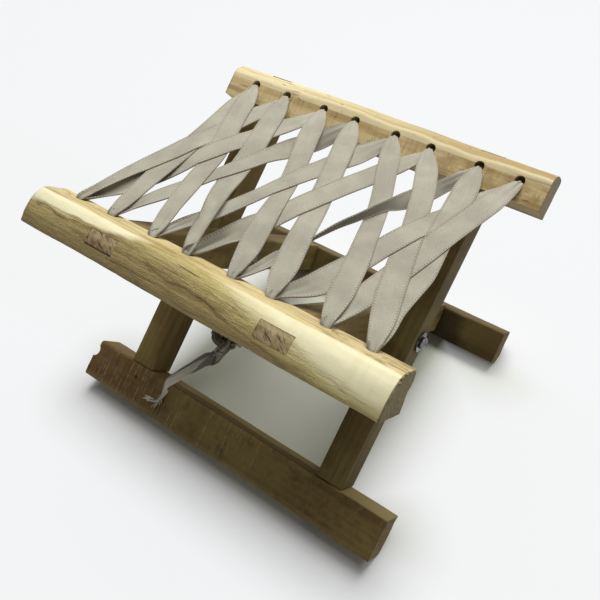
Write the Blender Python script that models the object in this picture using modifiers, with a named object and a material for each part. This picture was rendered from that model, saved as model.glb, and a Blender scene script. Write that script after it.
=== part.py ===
"""A small folding stool: two wooden frames crossed on a pair of pivot bolts, with a seat of laced tape.

The inner frame joins the front top rail to the back bottom rail, and the outer frame joins the back
top rail to the front bottom rail. Metres, +Z up, the seat facing up and the front towards -Y.
"""
import math
from dataclasses import dataclass

import bmesh
import bpy
from mathutils import Matrix, Vector

# Legs
LEG_SLOPE = math.radians(39.7)        # each leg above the floor, with the stool open
LEG_DEPTH = 0.030                     # across the leg, square to its length and to the pivot
INNER_LEG_WIDTH = 0.028
OUTER_LEG_WIDTH = 0.0255
INNER_LEG_SPAN = 0.1872               # over the outsides of the two inner legs
LEG_EDGE = 0.0012                     # eased long edges
TENON_DEPTH = 0.012
INNER_TENON_WIDTH = 0.0275
OUTER_TENON_WIDTH = 0.020
FIT_GAP = 0.0003                      # between pieces that seat on each other

# Top rails, measured along the legs from the pivot
TOP_RAIL_DEPTH = 0.031
TOP_RAIL_RISE = 0.0152                # from the middle of the legs up to the strip with the holes
LACE_HOLE_DIAMETER = 0.0085
FRONT_TOP_SHOULDER = 0.142
FRONT_TOP_LEFT = -0.1605
FRONT_TOP_RIGHT = 0.1650
FRONT_TOP_FLAT = 0.0185               # sawn strip that holds the lacing holes
FRONT_TOP_CROWN = 0.0185              # rounded bark side beyond the strip
FRONT_TOP_ROUND = 0.029               # how deep the bark side's curve runs
FRONT_TOP_EDGE = 0.003
FRONT_HOLE_INSET = 0.008              # from the rail's shoulder to the row of holes
BACK_TOP_SHOULDER = 0.133
BACK_TOP_LEFT = -0.1545
BACK_TOP_RIGHT = 0.1645
BACK_TOP_FLAT = 0.022
BACK_TOP_CROWN = 0.013
BACK_TOP_ROUND = 0.020
BACK_TOP_EDGE = 0.005
BACK_HOLE_INSET = 0.017
WANE = 0.0011                         # how far the natural edges wander
WANE_LENGTH = 0.031                   # length of their longer waves, over one radian
FRONT_HOLES = (-0.135, -0.0995, -0.0565, -0.022, 0.020, 0.054, 0.0995, 0.135)
BACK_HOLES = (-0.1255, -0.0895, -0.048, -0.014, 0.027, 0.061, 0.1055, 0.1405)

# Bottom rails, measured along the legs from the pivot
FRONT_BOTTOM_SHOULDER = 0.139
FRONT_BOTTOM_HEIGHT = 0.038
FRONT_BOTTOM_DEPTH = 0.030
FRONT_BOTTOM_LENGTH = 0.333
CHIP_HEIGHT = 0.014                   # broken corner at the front bottom rail's left end
CHIP_SETBACK = 0.0055
BACK_BOTTOM_SHOULDER = 0.145
BACK_BOTTOM_HEIGHT = 0.029
BACK_BOTTOM_DEPTH = 0.032
BACK_BOTTOM_OFFSET = -0.0034          # from the middle of the legs to the middle of the rail
BACK_BOTTOM_LENGTH = 0.318
BOTTOM_RAIL_EDGE = 0.0022
FOOT_PLANING = 0.0032                 # taken off the lowest corner so that the stool stands flat

# Pivot hardware
BOLT_DIAMETER = 0.006
BOLT_END = 0.003                      # thread standing past the nut
BOLT_CHAMFER = 0.0012
HEAD_DIAMETER = 0.0105
HEAD_HEIGHT = 0.0045
HEAD_EDGE = 0.0014                    # straight edge below the dome
RECESS_SPAN = 0.0056
RECESS_WIDTH = 0.0013
RECESS_DEPTH = 0.0022
WASHER_DIAMETER = 0.018
WASHER_THICKNESS = 0.0016
NUT_ACROSS_FLATS = 0.010
NUT_HEIGHT = 0.005
COLLAR_DIAMETER = 0.0092
COLLAR_HEIGHT = 0.0028
COLLAR_EDGE = 0.0008
BRAD_DIAMETER = 0.0022
BRAD_HEAD_DIAMETER = 0.0034
BRAD_HEAD_HEIGHT = 0.0008
BRAD_HEAD_EDGE = 0.0003
BRAD_LENGTH = 0.024
BRAD_POINT = 0.0044
BRAD_SINK = 0.0004
BRAD_BELOW_SHOULDER = 0.013

# Laced tape
TAPE_WIDTH = 0.020
TAPE_THICKNESS = 0.0009
GATHERED_WIDTH = 0.0052               # where it is drawn through a hole
GATHERED_THICKNESS = 0.0012
GATHER_LENGTH = 0.032                 # over which it spreads from a hole to its full width
LAYER_STEP = 0.0026                   # between the two turns in one hole
SETTLE_LENGTH = 0.045                 # over which a strand reaches its layer in the weave
SEAT_SAG = 0.0015
UNDER_BEND = 0.0033                   # bend below a rail, on the middle of the tape
UNDER_GAP = 0.001                     # between two turns that cross below a rail
KNOT_DROP = 0.0102                    # middle of the knot below the rail's underside
KNOT_SIZE = 0.0025                    # scale of the knot's loops
KNOT_DEPTH = 0.0065                   # across the knot's loops, on the middle of the strand
KNOT_STRAND = 0.0044
KNOT_LEAD = 0.0125                    # tape that runs from a hole in behind the knot
TAIL_WIDTH = 0.009
TAIL_THICKNESS = 0.0014
# Where the tape's free end lies, from the knot down to the front bottom rail, measured from the pivot
TAIL_ROUTE = (
    (0.0330, -0.1446, 0.0708), (0.0285, -0.1430, 0.0650), (0.0190, -0.1400, 0.0540),
    (0.0090, -0.1369, 0.0405), (-0.0030, -0.1333, 0.0240), (-0.0160, -0.1300, 0.0065),
    (-0.0280, -0.1272, -0.0100), (-0.0400, -0.1245, -0.0265), (-0.0520, -0.1221, -0.0430),
    (-0.0620, -0.1204, -0.0565), (-0.0690, -0.1198, -0.0665), (-0.0726, -0.1208, -0.0745),
    (-0.0737, -0.1241, -0.0813), (-0.0737, -0.1281, -0.0853), (-0.0748, -0.1318, -0.0884),
    (-0.0783, -0.1343, -0.0905), (-0.0830, -0.1353, -0.0913),
)
# One tape, in the order in which it passes through the holes: f front, b back, counted from the left
LACE_ROUTE = (
    "f6 b4 b3 f1 f2 b1 b2 f4 f3 b1 b2 f1 f2 b4 b3 f5 f6 b8 b7 f8 f7 b5 b6 f4 f3 b5 b6 f8 f7 b8 b7 f5"
).split()
KNOT_HOLES = (5, 6)

ROUND_SIDES = 24
BRAD_SIDES = 12
RAIL_STATIONS = 16
ARC_STEPS = 6
KNOT_POINTS = 56
SMOOTH_ANGLE = math.radians(35)
STRAND_SHARES = (0.03, 0.08, 0.14, 0.22, 0.35, 0.5, 0.65, 0.78, 0.86, 0.92, 0.97)


@dataclass
class TopRail:
    """A top rail: a sawn strip towards the seat and a rounded outer side. Outlines are (w, s) points."""
    name: str
    shoulder: float
    left: float
    right: float
    flat: float
    crown: float
    round_depth: float
    edge: float
    hole_inset: float
    holes: tuple
    phase: float

    def outer_curve(self, x):
        """The rounded side at x, from the edge of the strip down to the underside."""
        wave = x / WANE_LENGTH
        wander = math.sin(wave + self.phase) + 0.6 * math.sin(2.3 * wave + 2 * self.phase)
        flat_end = self.shoulder + self.flat + WANE * wander
        outside = self.outer_face() + 0.5 * WANE * math.sin(0.7 * wave + self.phase)
        points = []
        for step in range(ARC_STEPS + 1):
            turn = 0.5 * math.pi * step / ARC_STEPS
            w = TOP_RAIL_RISE - self.round_depth * (1 - math.cos(turn))
            points.append((w, flat_end + (outside - flat_end) * math.sin(turn)))
        low = min(self.edge, TOP_RAIL_DEPTH - self.round_depth)
        first = 0 if self.round_depth + low < TOP_RAIL_DEPTH else 1
        for step in range(first, 4):
            turn = math.pi * step / 6
            w = RAIL_UNDERSIDE + low * (1 - math.sin(turn))
            points.append((w, outside - self.edge * (1 - math.cos(turn))))
        return points

    def outline(self, x):
        return [(RAIL_UNDERSIDE, self.shoulder), (TOP_RAIL_RISE, self.shoulder)] + self.outer_curve(x)

    def outside_region(self, x):
        """All that lies past the rounded side, for trimming the tenons flush with it."""
        curve = self.outer_curve(x)
        far = self.outer_face() + self.flat
        above = TOP_RAIL_RISE + self.flat
        below = RAIL_UNDERSIDE - self.flat
        return curve + [(below, curve[-1][1]), (below, far), (above, far), (above, curve[0][1])]

    def outer_face(self):
        return self.shoulder + self.flat + self.crown

    def hole_line(self):
        return self.shoulder + self.hole_inset


@dataclass
class BottomRail:
    """A bottom rail: a batten with eased edges, planed level where it stands."""
    name: str
    shoulder: float
    height: float
    depth: float
    offset: float
    left: float
    right: float

    def outer_face(self):
        return self.shoulder + self.height

    def reach(self):
        """How far the lowest corner lies below the pivot before it is planed."""
        low_corner = 0.5 * self.depth - self.offset
        return self.outer_face() * math.sin(LEG_SLOPE) + low_corner * math.cos(LEG_SLOPE)

    def outline(self, x):
        ease = BOTTOM_RAIL_EDGE * (1.0 + 0.35 * math.sin(x / WANE_LENGTH + self.height))
        points = []
        for side_w, side_s, start in ((1, 1, 90), (1, -1, 0), (-1, -1, 270), (-1, 1, 180)):
            centre_w = self.offset + side_w * (0.5 * self.depth - ease)
            centre_s = -self.shoulder - 0.5 * self.height + side_s * (0.5 * self.height - ease)
            for turn in (start, start - 45, start - 90):
                angle = math.radians(turn)
                points.append((centre_w + ease * math.cos(angle), centre_s + ease * math.sin(angle)))
        return planed(points)


def planed(outline):
    """Cut an outline off along the floor."""
    heights = [PIVOT_HEIGHT + s * math.sin(LEG_SLOPE) + w * math.cos(LEG_SLOPE) for w, s in outline]
    kept = []
    for index, point in enumerate(outline):
        before = outline[index - 1]
        if (heights[index] < 0) != (heights[index - 1] < 0):
            share = heights[index - 1] / (heights[index - 1] - heights[index])
            kept.append(tuple(a + share * (b - a) for a, b in zip(before, point)))
        if heights[index] >= 0:
            kept.append(point)
    return kept


@dataclass
class Frame:
    """One of the two frames, modelled along its legs, with local X across the stool and Z up the legs.

    Places in a frame are (x, w, s): w towards the seat, s along the legs from the pivot. The seat is on
    the +Y side of the inner frame and on the -Y side of the outer one.
    """
    name: str
    side: int
    top: TopRail
    bottom: BottomRail
    leg_middle: float
    leg_width: float
    tenon_width: float

    def local(self, x, w, s):
        return Vector((x, self.side * w, s))

    def world(self, x, w, s):
        y = self.side * (math.sin(LEG_SLOPE) * w - math.cos(LEG_SLOPE) * s)
        return PIVOT + Vector((x, y, math.sin(LEG_SLOPE) * s + math.cos(LEG_SLOPE) * w))

    def up_the_legs(self):
        return Vector((0, -self.side * math.cos(LEG_SLOPE), math.sin(LEG_SLOPE)))

    def facing_seat(self):
        """Turn that points an object's Z towards the seat."""
        return -self.side * 0.5 * math.pi

    def sections(self, rail, outline):
        """An outline of a rail at each station along it, as (x, [(w, s), ...])."""
        step = (rail.right - rail.left) / (RAIL_STATIONS - 1)
        stations = [rail.left + step * index for index in range(RAIL_STATIONS)]
        return [(x, outline(x)) for x in stations]

    def reach(self, towards):
        """How far the rails stand out from the pivot, to the front (-1) or to the back (+1)."""
        far = 0
        for rail in (self.top, self.bottom):
            for x, outline in self.sections(rail, rail.outline):
                for w, s in outline:
                    y = self.side * (math.sin(LEG_SLOPE) * w - math.cos(LEG_SLOPE) * s)
                    far = max(far, towards * y)
        return far


RAIL_UNDERSIDE = TOP_RAIL_RISE - TOP_RAIL_DEPTH
FRONT_TOP = TopRail("front_top_rail", FRONT_TOP_SHOULDER, FRONT_TOP_LEFT, FRONT_TOP_RIGHT, FRONT_TOP_FLAT,
                    FRONT_TOP_CROWN, FRONT_TOP_ROUND, FRONT_TOP_EDGE, FRONT_HOLE_INSET, FRONT_HOLES, 0.4)
BACK_TOP = TopRail("back_top_rail", BACK_TOP_SHOULDER, BACK_TOP_LEFT, BACK_TOP_RIGHT, BACK_TOP_FLAT,
                   BACK_TOP_CROWN, BACK_TOP_ROUND, BACK_TOP_EDGE, BACK_HOLE_INSET, BACK_HOLES, 2.1)
FRONT_BOTTOM = BottomRail("front_bottom_rail", FRONT_BOTTOM_SHOULDER, FRONT_BOTTOM_HEIGHT, FRONT_BOTTOM_DEPTH,
                          0, -0.5 * FRONT_BOTTOM_LENGTH, 0.5 * FRONT_BOTTOM_LENGTH)
BACK_BOTTOM = BottomRail("back_bottom_rail", BACK_BOTTOM_SHOULDER, BACK_BOTTOM_HEIGHT, BACK_BOTTOM_DEPTH,
                         BACK_BOTTOM_OFFSET, -0.5 * BACK_BOTTOM_LENGTH, 0.5 * BACK_BOTTOM_LENGTH)
PIVOT_HEIGHT = min(FRONT_BOTTOM.reach(), BACK_BOTTOM.reach()) - FOOT_PLANING
LEG_GAP = WASHER_THICKNESS + 2 * FIT_GAP
INNER = Frame("inner_frame", 1, FRONT_TOP, BACK_BOTTOM, 0.5 * (INNER_LEG_SPAN - INNER_LEG_WIDTH),
              INNER_LEG_WIDTH, INNER_TENON_WIDTH)
OUTER = Frame("outer_frame", -1, BACK_TOP, FRONT_BOTTOM, 0.5 * (INNER_LEG_SPAN + OUTER_LEG_WIDTH) + LEG_GAP,
              OUTER_LEG_WIDTH, OUTER_TENON_WIDTH)
FRONT_REACH = max(INNER.reach(-1), OUTER.reach(-1))
BACK_REACH = max(INNER.reach(1), OUTER.reach(1))
PIVOT = Vector((0, 0.5 * (FRONT_REACH - BACK_REACH), PIVOT_HEIGHT))
LOW_RUN = GATHERED_WIDTH + UNDER_GAP
KNOT_FORWARD = 0.5 * (LAYER_STEP + GATHERED_THICKNESS + KNOT_STRAND + KNOT_DEPTH) + FIT_GAP


def make_material(name, colour, roughness, metallic=0.0):
    made = bpy.data.materials.new(name)
    made.use_nodes = True
    shader = made.node_tree.nodes["Principled BSDF"]
    shader.inputs["Base Color"].default_value = (*colour, 1)
    shader.inputs["Roughness"].default_value = roughness
    shader.inputs["Metallic"].default_value = metallic
    return made


def add_object(name, data, parent, finish=None):
    """Put a mesh or curve in the scene as a part, or as a cutter where it has no finish."""
    obj = bpy.data.objects.new(name, data)
    obj.parent = parent
    if finish:
        PARTS.objects.link(obj)
        data.materials.append(finish)
    else:
        CUTTERS.objects.link(obj)
        obj.hide_render = True
        obj.display_type = "WIRE"
    return obj


def mesh_object(name, bm, parent, finish=None):
    mesh = bpy.data.meshes.new(name)
    bm.to_mesh(mesh)
    bm.free()
    mesh.shade_smooth()
    mesh.set_sharp_from_angle(angle=SMOOTH_ANGLE)
    return add_object(name, mesh, parent, finish)


def boolean(obj, other, operation="DIFFERENCE"):
    modifier = obj.modifiers.new(operation.lower() + "_" + other.name, "BOOLEAN")
    modifier.operation = operation
    modifier.object = other


def block(name, middle, size, parent, finish=None):
    """A box of that size about its middle."""
    bm = bmesh.new()
    bmesh.ops.create_cube(bm, size=1.0, matrix=Matrix.Translation(middle) @ Matrix.Diagonal((*size, 1)))
    return mesh_object(name, bm, parent, finish)


def turned(name, profile, parent, finish=None, sides=ROUND_SIDES, bored=False):
    """A profile of (radius, height) points, from the top down its outer side, turned about local Z."""
    bm = bmesh.new()
    points = [bm.verts.new((radius, 0, height)) for radius, height in profile]
    for first, second in zip(points, points[1:]):
        bm.edges.new((first, second))
    if bored:
        bm.edges.new((points[-1], points[0]))
    obj = mesh_object(name, bm, parent, finish)
    screw = obj.modifiers.new("turn", "SCREW")
    screw.steps = sides
    screw.render_steps = sides
    screw.use_merge_vertices = True
    screw.merge_threshold = 0.00001
    return obj


def loft(rings):
    """A capped solid through rings of points."""
    bm = bmesh.new()
    loops = [[bm.verts.new(point) for point in ring] for ring in rings]
    bm.faces.new(loops[0])
    bm.faces.new(loops[-1])
    for first, second in zip(loops, loops[1:]):
        for index in range(len(first)):
            bm.faces.new((first[index - 1], first[index], second[index], second[index - 1]))
    bmesh.ops.recalc_face_normals(bm, faces=bm.faces)
    return bm


def rail_solid(frame, rail, outline):
    return loft([[frame.local(x, w, s) for w, s in points] for x, points in frame.sections(rail, outline)])


def mortise_cutter(frame, rail, middle):
    """Both mortises of a rail in one cutter."""
    bm = bmesh.new()
    height = 3 * (rail.outer_face() - rail.shoulder)
    size = Matrix.Diagonal((frame.tenon_width + 2 * FIT_GAP, TENON_DEPTH + 2 * FIT_GAP, height, 1))
    for side in (-1, 1):
        place = Matrix.Translation((side * frame.leg_middle, 0, middle))
        bmesh.ops.create_cube(bm, size=1.0, matrix=place @ size)
    return mesh_object(rail.name + "_mortises", bm, EMPTIES[frame.name])


def lace_hole_cutter(frame):
    """All the lacing holes of a frame's top rail in one cutter."""
    bm = bmesh.new()
    radius = 0.5 * LACE_HOLE_DIAMETER
    for x in frame.top.holes:
        place = Matrix.Translation((x, 0, frame.top.hole_line())) @ Matrix.Rotation(math.pi / 2, 4, "X")
        bmesh.ops.create_cone(bm, cap_ends=True, segments=ROUND_SIDES, radius1=radius, radius2=radius,
                              depth=2 * TOP_RAIL_DEPTH, matrix=place)
    return mesh_object(frame.top.name + "_lace_holes", bm, EMPTIES[frame.name])


def make_brad(name, frame, side, finish):
    """A brad through a bottom rail and its tenon, and the cutter for its hole."""
    rail = frame.bottom
    head = 0.5 * BRAD_HEAD_DIAMETER
    shank = 0.5 * BRAD_DIAMETER
    profile = [(0, 0), (head - BRAD_HEAD_EDGE, 0), (head, -BRAD_HEAD_EDGE), (head, -BRAD_HEAD_HEIGHT),
               (shank, -BRAD_HEAD_HEIGHT), (shank, BRAD_POINT - BRAD_LENGTH), (0, -BRAD_LENGTH)]
    brad = turned(name, profile, EMPTIES[frame.name], finish, BRAD_SIDES)
    shelf = -BRAD_HEAD_HEIGHT - FIT_GAP
    wide = head + FIT_GAP
    narrow = shank + FIT_GAP
    end = -BRAD_LENGTH - FIT_GAP
    profile = [(0, rail.depth), (wide, rail.depth), (wide, shelf), (narrow, shelf), (narrow, end), (0, end)]
    hole = turned(name + "_hole", profile, EMPTIES[frame.name], sides=BRAD_SIDES)
    seat = rail.offset + 0.5 * rail.depth - BRAD_SINK
    for obj in (brad, hole):
        obj.location = frame.local(side * frame.leg_middle, seat, -rail.shoulder - BRAD_BELOW_SHOULDER)
        obj.rotation_euler.x = frame.facing_seat()
    return hole


def make_leg(name, frame, side, finish):
    """A leg with eased edges, and the bar that makes its tenons."""
    top = frame.top.shoulder - FIT_GAP
    bottom = FIT_GAP - frame.bottom.shoulder
    foot = FIT_GAP - frame.bottom.outer_face()
    tip = frame.top.outer_face() + TENON_DEPTH
    x = side * frame.leg_middle
    parent = EMPTIES[frame.name]
    size = (frame.leg_width, LEG_DEPTH, top - bottom)
    leg = block(name, Vector((x, 0, 0.5 * (top + bottom))), size, parent, finish)
    bevel = leg.modifiers.new("eased_edges", "BEVEL")
    bevel.width = LEG_EDGE
    bevel.segments = 2
    size = (frame.tenon_width, TENON_DEPTH, tip - foot)
    tenons = block(name + "_tenons", Vector((x, 0, 0.5 * (tip + foot))), size, parent)
    boolean(leg, tenons, "UNION")
    return leg


def make_frame(frame, finishes):
    """The two rails and two legs of a frame, and the brads in its bottom rail."""
    parent = EMPTIES[frame.name]
    top = frame.top
    bottom = frame.bottom
    top_solid = rail_solid(frame, top, top.outline)
    bottom_solid = rail_solid(frame, bottom, bottom.outline)
    top_rail = mesh_object(top.name, top_solid, parent, finishes["top"])
    bottom_rail = mesh_object(bottom.name, bottom_solid, parent, finishes["bottom"])
    lace_holes = lace_hole_cutter(frame)
    trim = mesh_object(top.name + "_outside", rail_solid(frame, top, top.outside_region), parent)
    boolean(top_rail, mortise_cutter(frame, top, top.outer_face()))
    boolean(top_rail, lace_holes)
    boolean(bottom_rail, mortise_cutter(frame, bottom, -bottom.outer_face()))
    end = "back" if frame is INNER else "front"
    legs = {}
    for suffix, side in SIDES:
        leg = make_leg(frame.name.split("_")[0] + "_leg_" + suffix, frame, side, finishes["leg"])
        brad_hole = make_brad("tenon_brad_" + end + "_" + suffix, frame, side, finishes["brad"])
        for cutter in (trim, lace_holes, brad_hole):
            boolean(leg, cutter)
        boolean(bottom_rail, brad_hole)
        legs[suffix] = leg
    return bottom_rail, legs


def recess_cutter(name, parent):
    """A tapered cross for the bolt's drive, about the top of its head."""
    long = 0.5 * RECESS_SPAN
    half = 0.5 * RECESS_WIDTH
    cross = []
    for turn in range(4):
        arm = Matrix.Rotation(0.5 * math.pi * turn, 3, "Z")
        cross += [arm @ Vector(place) for place in ((long, -half, 0), (long, half, 0), (half, half, 0))]
    rings = []
    for height, taper in ((RECESS_DEPTH, 1.0), (-RECESS_DEPTH, 0.8)):
        rings.append([taper * place + Vector((0, 0, height)) for place in cross])
    return mesh_object(name, loft(rings), parent)


def make_pivot(suffix, side, legs, finish):
    """A bolt, its washers and its nut at one side, placed from the head on the outside inwards."""
    parent = EMPTIES[OUTER.name]
    shank = 0.5 * BOLT_DIAMETER
    bore = shank + FIT_GAP
    outer_face = OUTER.leg_middle + 0.5 * OUTER.leg_width
    inner_face = INNER.leg_middle - 0.5 * INNER.leg_width

    def place(obj, x):
        obj.location.x = side * x
        obj.rotation_euler.y = side * 0.5 * math.pi

    rim = 0.5 * WASHER_DIAMETER
    washer = [(rim, 0), (rim, -WASHER_THICKNESS), (bore, -WASHER_THICKNESS), (bore, 0)]
    for name, x in (("head_washer_", outer_face + FIT_GAP + WASHER_THICKNESS),
                    ("spacer_washer_", 0.5 * INNER_LEG_SPAN + FIT_GAP + WASHER_THICKNESS),
                    ("nut_washer_", inner_face - FIT_GAP)):
        place(turned(name + suffix, washer, parent, finish, bored=True), x)

    nut_face = inner_face - 2 * FIT_GAP - WASHER_THICKNESS
    head_top = outer_face + 2 * FIT_GAP + WASHER_THICKNESS + HEAD_HEIGHT
    length = head_top - nut_face + NUT_HEIGHT + COLLAR_HEIGHT + BOLT_END
    dome = HEAD_HEIGHT - HEAD_EDGE
    profile = []
    for step in range(ARC_STEPS + 1):
        turn = 0.5 * math.pi * step / ARC_STEPS
        profile.append((0.5 * HEAD_DIAMETER * math.sin(turn), dome * (math.cos(turn) - 1)))
    profile += [(0.5 * HEAD_DIAMETER, -HEAD_HEIGHT), (shank, -HEAD_HEIGHT), (shank, BOLT_CHAMFER - length),
                (shank - BOLT_CHAMFER, -length), (0, -length)]
    bolt = turned("pivot_bolt_" + suffix, profile, parent, finish)
    recess = recess_cutter("recess_" + suffix, parent)
    boolean(bolt, recess)
    place(bolt, head_top)
    place(recess, head_top)

    bm = bmesh.new()
    corner = 0.5 * NUT_ACROSS_FLATS / math.cos(math.pi / 6)
    bmesh.ops.create_cone(bm, cap_ends=True, segments=6, radius1=corner, radius2=corner, depth=NUT_HEIGHT,
                          matrix=Matrix.Translation((0, 0, -0.5 * NUT_HEIGHT)))
    nut = mesh_object("lock_nut_" + suffix, bm, parent, finish)
    rim = 0.5 * COLLAR_DIAMETER
    end = -NUT_HEIGHT - COLLAR_HEIGHT
    inside = -0.5 * NUT_HEIGHT
    profile = [(0, inside), (rim, inside), (rim, end + COLLAR_EDGE), (rim - COLLAR_EDGE, end), (0, end)]
    collar = turned("collar_" + suffix, profile, parent)
    profile = [(0, length), (bore, length), (bore, -2 * length), (0, -2 * length)]
    shaft = turned("shaft_" + suffix, profile, parent)
    boolean(nut, collar, "UNION")
    for obj in [nut] + legs:
        boolean(obj, shaft)
    place(nut, nut_face)
    place(collar, nut_face)
    place(shaft, head_top)


def smooth(share):
    share = min(1.0, max(0.0, share))
    return share * share * (3 - 2 * share)


def smooth_route(points, steps):
    """Points on a smooth curve through a route's own points."""
    route = [Vector(point) for point in points]
    before = [2 * route[0] - route[1]] + route
    after = route + [2 * route[-1] - route[-2]]
    curve = []
    for index in range(len(route) - 1):
        start, end = route[index], route[index + 1]
        start_slope = 0.5 * (end - before[index])
        end_slope = 0.5 * (after[index + 2] - start)
        for step in range(steps):
            t = step / steps
            curve.append((2 * t ** 3 - 3 * t ** 2 + 1) * start + (t ** 3 - 2 * t ** 2 + t) * start_slope
                         + (3 * t ** 2 - 2 * t ** 3) * end + (t ** 3 - t ** 2) * end_slope)
    return curve + [route[-1]]


def swept_tape(stations):
    """A tape through (middle, facing, width, thickness) stations."""
    rings = []
    last = len(stations) - 1
    for index, (middle, facing, width, thickness) in enumerate(stations):
        before = stations[max(index - 1, 0)][0]
        after = stations[min(index + 1, last)][0]
        ahead = ((middle - before).normalized() + (after - middle).normalized()).normalized()
        across = ahead.cross(facing).normalized()
        up = across.cross(ahead)
        ring = []
        for side, level in ((1, 1), (-1, 1), (-1, -1), (1, -1)):
            ring.append(middle + across * (0.5 * width * side) + up * (0.5 * thickness * level))
        rings.append(ring)
    return loft(rings)


class Lacing:
    """The tape's way through the holes and across the seat."""

    def __init__(self, route):
        self.strands = [(route[step], route[step + 1]) for step in range(0, len(route), 2)]
        self.layers = {}
        for strand in self.strands:
            for hole in strand:
                self.layers.setdefault(hole, []).append(self.layer(strand))

    def frame(self, hole):
        return INNER if hole[0] == "f" else OUTER

    def layer(self, strand):
        """Height of a strand in the weave, in layers: the short strands at the ends lie outermost."""
        front, back = sorted(strand, key=lambda hole: hole[0] != "f")
        shift = int(back[1]) - int(front[1])
        return {-2: 0.5, 2: -0.5, -1: 1.5, 1: -1.5}[shift]

    def rank(self, hole, strand):
        """+0.5 for the outer of the two turns in a hole, -0.5 for the inner one."""
        return 0.5 if self.layer(strand) == max(self.layers[hole]) else -0.5

    def place(self, hole, strand, w):
        """The middle of the tape in a hole, at height w."""
        frame = self.frame(hole)
        s = frame.top.hole_line() + LAYER_STEP * self.rank(hole, strand)
        return frame.world(frame.top.holes[int(hole[1]) - 1], w, s)

    def gathered(self, hole, strand, w):
        facing = self.frame(hole).up_the_legs()
        return self.place(hole, strand, w), facing, GATHERED_WIDTH, GATHERED_THICKNESS

    def across_seat(self, strand):
        start, end = (self.place(hole, strand, TOP_RAIL_RISE + GATHERED_THICKNESS) for hole in strand)
        step = LAYER_STEP * math.sin(LEG_SLOPE)
        mouths = [point.z - step * self.rank(hole, strand) for point, hole in zip((start, end), strand)]
        length = (end - start).length
        up = Vector((0, 0, 1))
        stations = [(start, up, GATHERED_WIDTH, GATHERED_THICKNESS)]
        for share in STRAND_SHARES:
            near = length * min(share, 1 - share)
            end_rank = self.rank(strand[0] if share < 0.5 else strand[1], strand)
            settled = smooth(near / SETTLE_LENGTH)
            level = end_rank * (1 - settled) + self.layer(strand) * settled
            middle = start.lerp(end, share)
            sag = SEAT_SAG * 4 * share * (1 - share)
            middle.z = mouths[0] + share * (mouths[1] - mouths[0]) + step * level - sag
            spread = smooth(near / GATHER_LENGTH)
            width = GATHERED_WIDTH + spread * (TAPE_WIDTH - GATHERED_WIDTH)
            thickness = GATHERED_THICKNESS + spread * (TAPE_THICKNESS - GATHERED_THICKNESS)
            stations.append((middle, up, width, thickness))
        stations.append((end, up, GATHERED_WIDTH, GATHERED_THICKNESS))
        return stations

    def bend(self, hole, strand, towards, drop):
        """The turn below a rail from a hole into the run towards +X (1) or -X (-1)."""
        stations = []
        if drop:
            stations.append(self.gathered(hole, strand, RAIL_UNDERSIDE - drop))
        for turn in (math.pi / 4, math.pi / 2):
            station = self.gathered(hole, strand, RAIL_UNDERSIDE - drop - UNDER_BEND * math.sin(turn))
            station[0].x += towards * UNDER_BEND * (1 - math.cos(turn))
            stations.append(station)
        return stations

    def below_rail(self, hole, strand, next_hole, next_strand):
        """The run along the underside between two holes; a run that crosses another goes below it."""
        towards = 1 if next_hole[1] > hole[1] else -1
        rises = towards * (self.rank(next_hole, next_strand) - self.rank(hole, strand)) > 0
        drop = LOW_RUN if rises else 0
        leaving = self.bend(hole, strand, towards, drop)
        arriving = self.bend(next_hole, next_strand, -towards, drop)
        return leaving + arriving[::-1]

    def lead(self, hole, strand, towards):
        """A loose end from a hole in behind the knot."""
        stations = self.bend(hole, strand, towards, LOW_RUN)
        middle, up, width, thickness = stations[-1]
        end = middle + Vector((towards * (KNOT_LEAD - UNDER_BEND), 0, 0))
        return stations + [(end, up, width, thickness)]

    def stations(self):
        first, last = self.strands[0], self.strands[-1]
        whole = self.lead(first[0], first, -1)[::-1]
        for index, strand in enumerate(self.strands):
            whole.append(self.gathered(strand[0], strand, RAIL_UNDERSIDE))
            whole += self.across_seat(strand)
            whole.append(self.gathered(strand[1], strand, RAIL_UNDERSIDE))
            if strand is not last:
                after = self.strands[index + 1]
                whole += self.below_rail(strand[1], strand, after[0], after)
        return whole + self.lead(last[1], last, 1)


def make_knot(finish):
    """A trefoil knot in the tape, below the front top rail between the two holes it is tied from."""
    middle_x = 0.5 * sum(FRONT_HOLES[hole - 1] for hole in KNOT_HOLES)
    lowest, highest = -3.0, 2.0625
    curve = bpy.data.curves.new("lace_knot", "CURVE")
    curve.dimensions = "3D"
    curve.bevel_depth = 0.5 * KNOT_STRAND
    curve.bevel_resolution = 2
    spline = curve.splines.new("POLY")
    spline.use_cyclic_u = True
    spline.points.add(KNOT_POINTS - 1)
    for index, point in enumerate(spline.points):
        turn = 2 * math.pi * index / KNOT_POINTS
        x = middle_x + KNOT_SIZE * (math.sin(turn) + 2 * math.sin(2 * turn))
        loop = math.cos(turn) - 2 * math.cos(2 * turn) - 0.5 * (lowest + highest)
        s = INNER.top.hole_line() + KNOT_FORWARD - 0.5 * KNOT_DEPTH * math.sin(3 * turn)
        point.co = (*INNER.world(x, RAIL_UNDERSIDE - KNOT_DROP + KNOT_SIZE * loop, s), 1)
    add_object("lace_knot", curve, EMPTIES["stool"], finish)


def make_tail(finish):
    """The free end of the tape, from the knot to the front bottom rail."""
    facing = Vector((0, -math.sin(LEG_SLOPE), math.cos(LEG_SLOPE)))
    route = [PIVOT + point for point in smooth_route(TAIL_ROUTE, 2)]
    stations = [(middle, facing, TAIL_WIDTH, TAIL_THICKNESS) for middle in route]
    mesh_object("lace_tail", swept_tape(stations), EMPTIES["stool"], finish)


def make_empty(name, place, tilt, parent):
    empty = bpy.data.objects.new(name, None)
    empty.location = place
    empty.rotation_euler.x = tilt
    empty.parent = parent
    PARTS.objects.link(empty)
    EMPTIES[name] = empty


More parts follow.
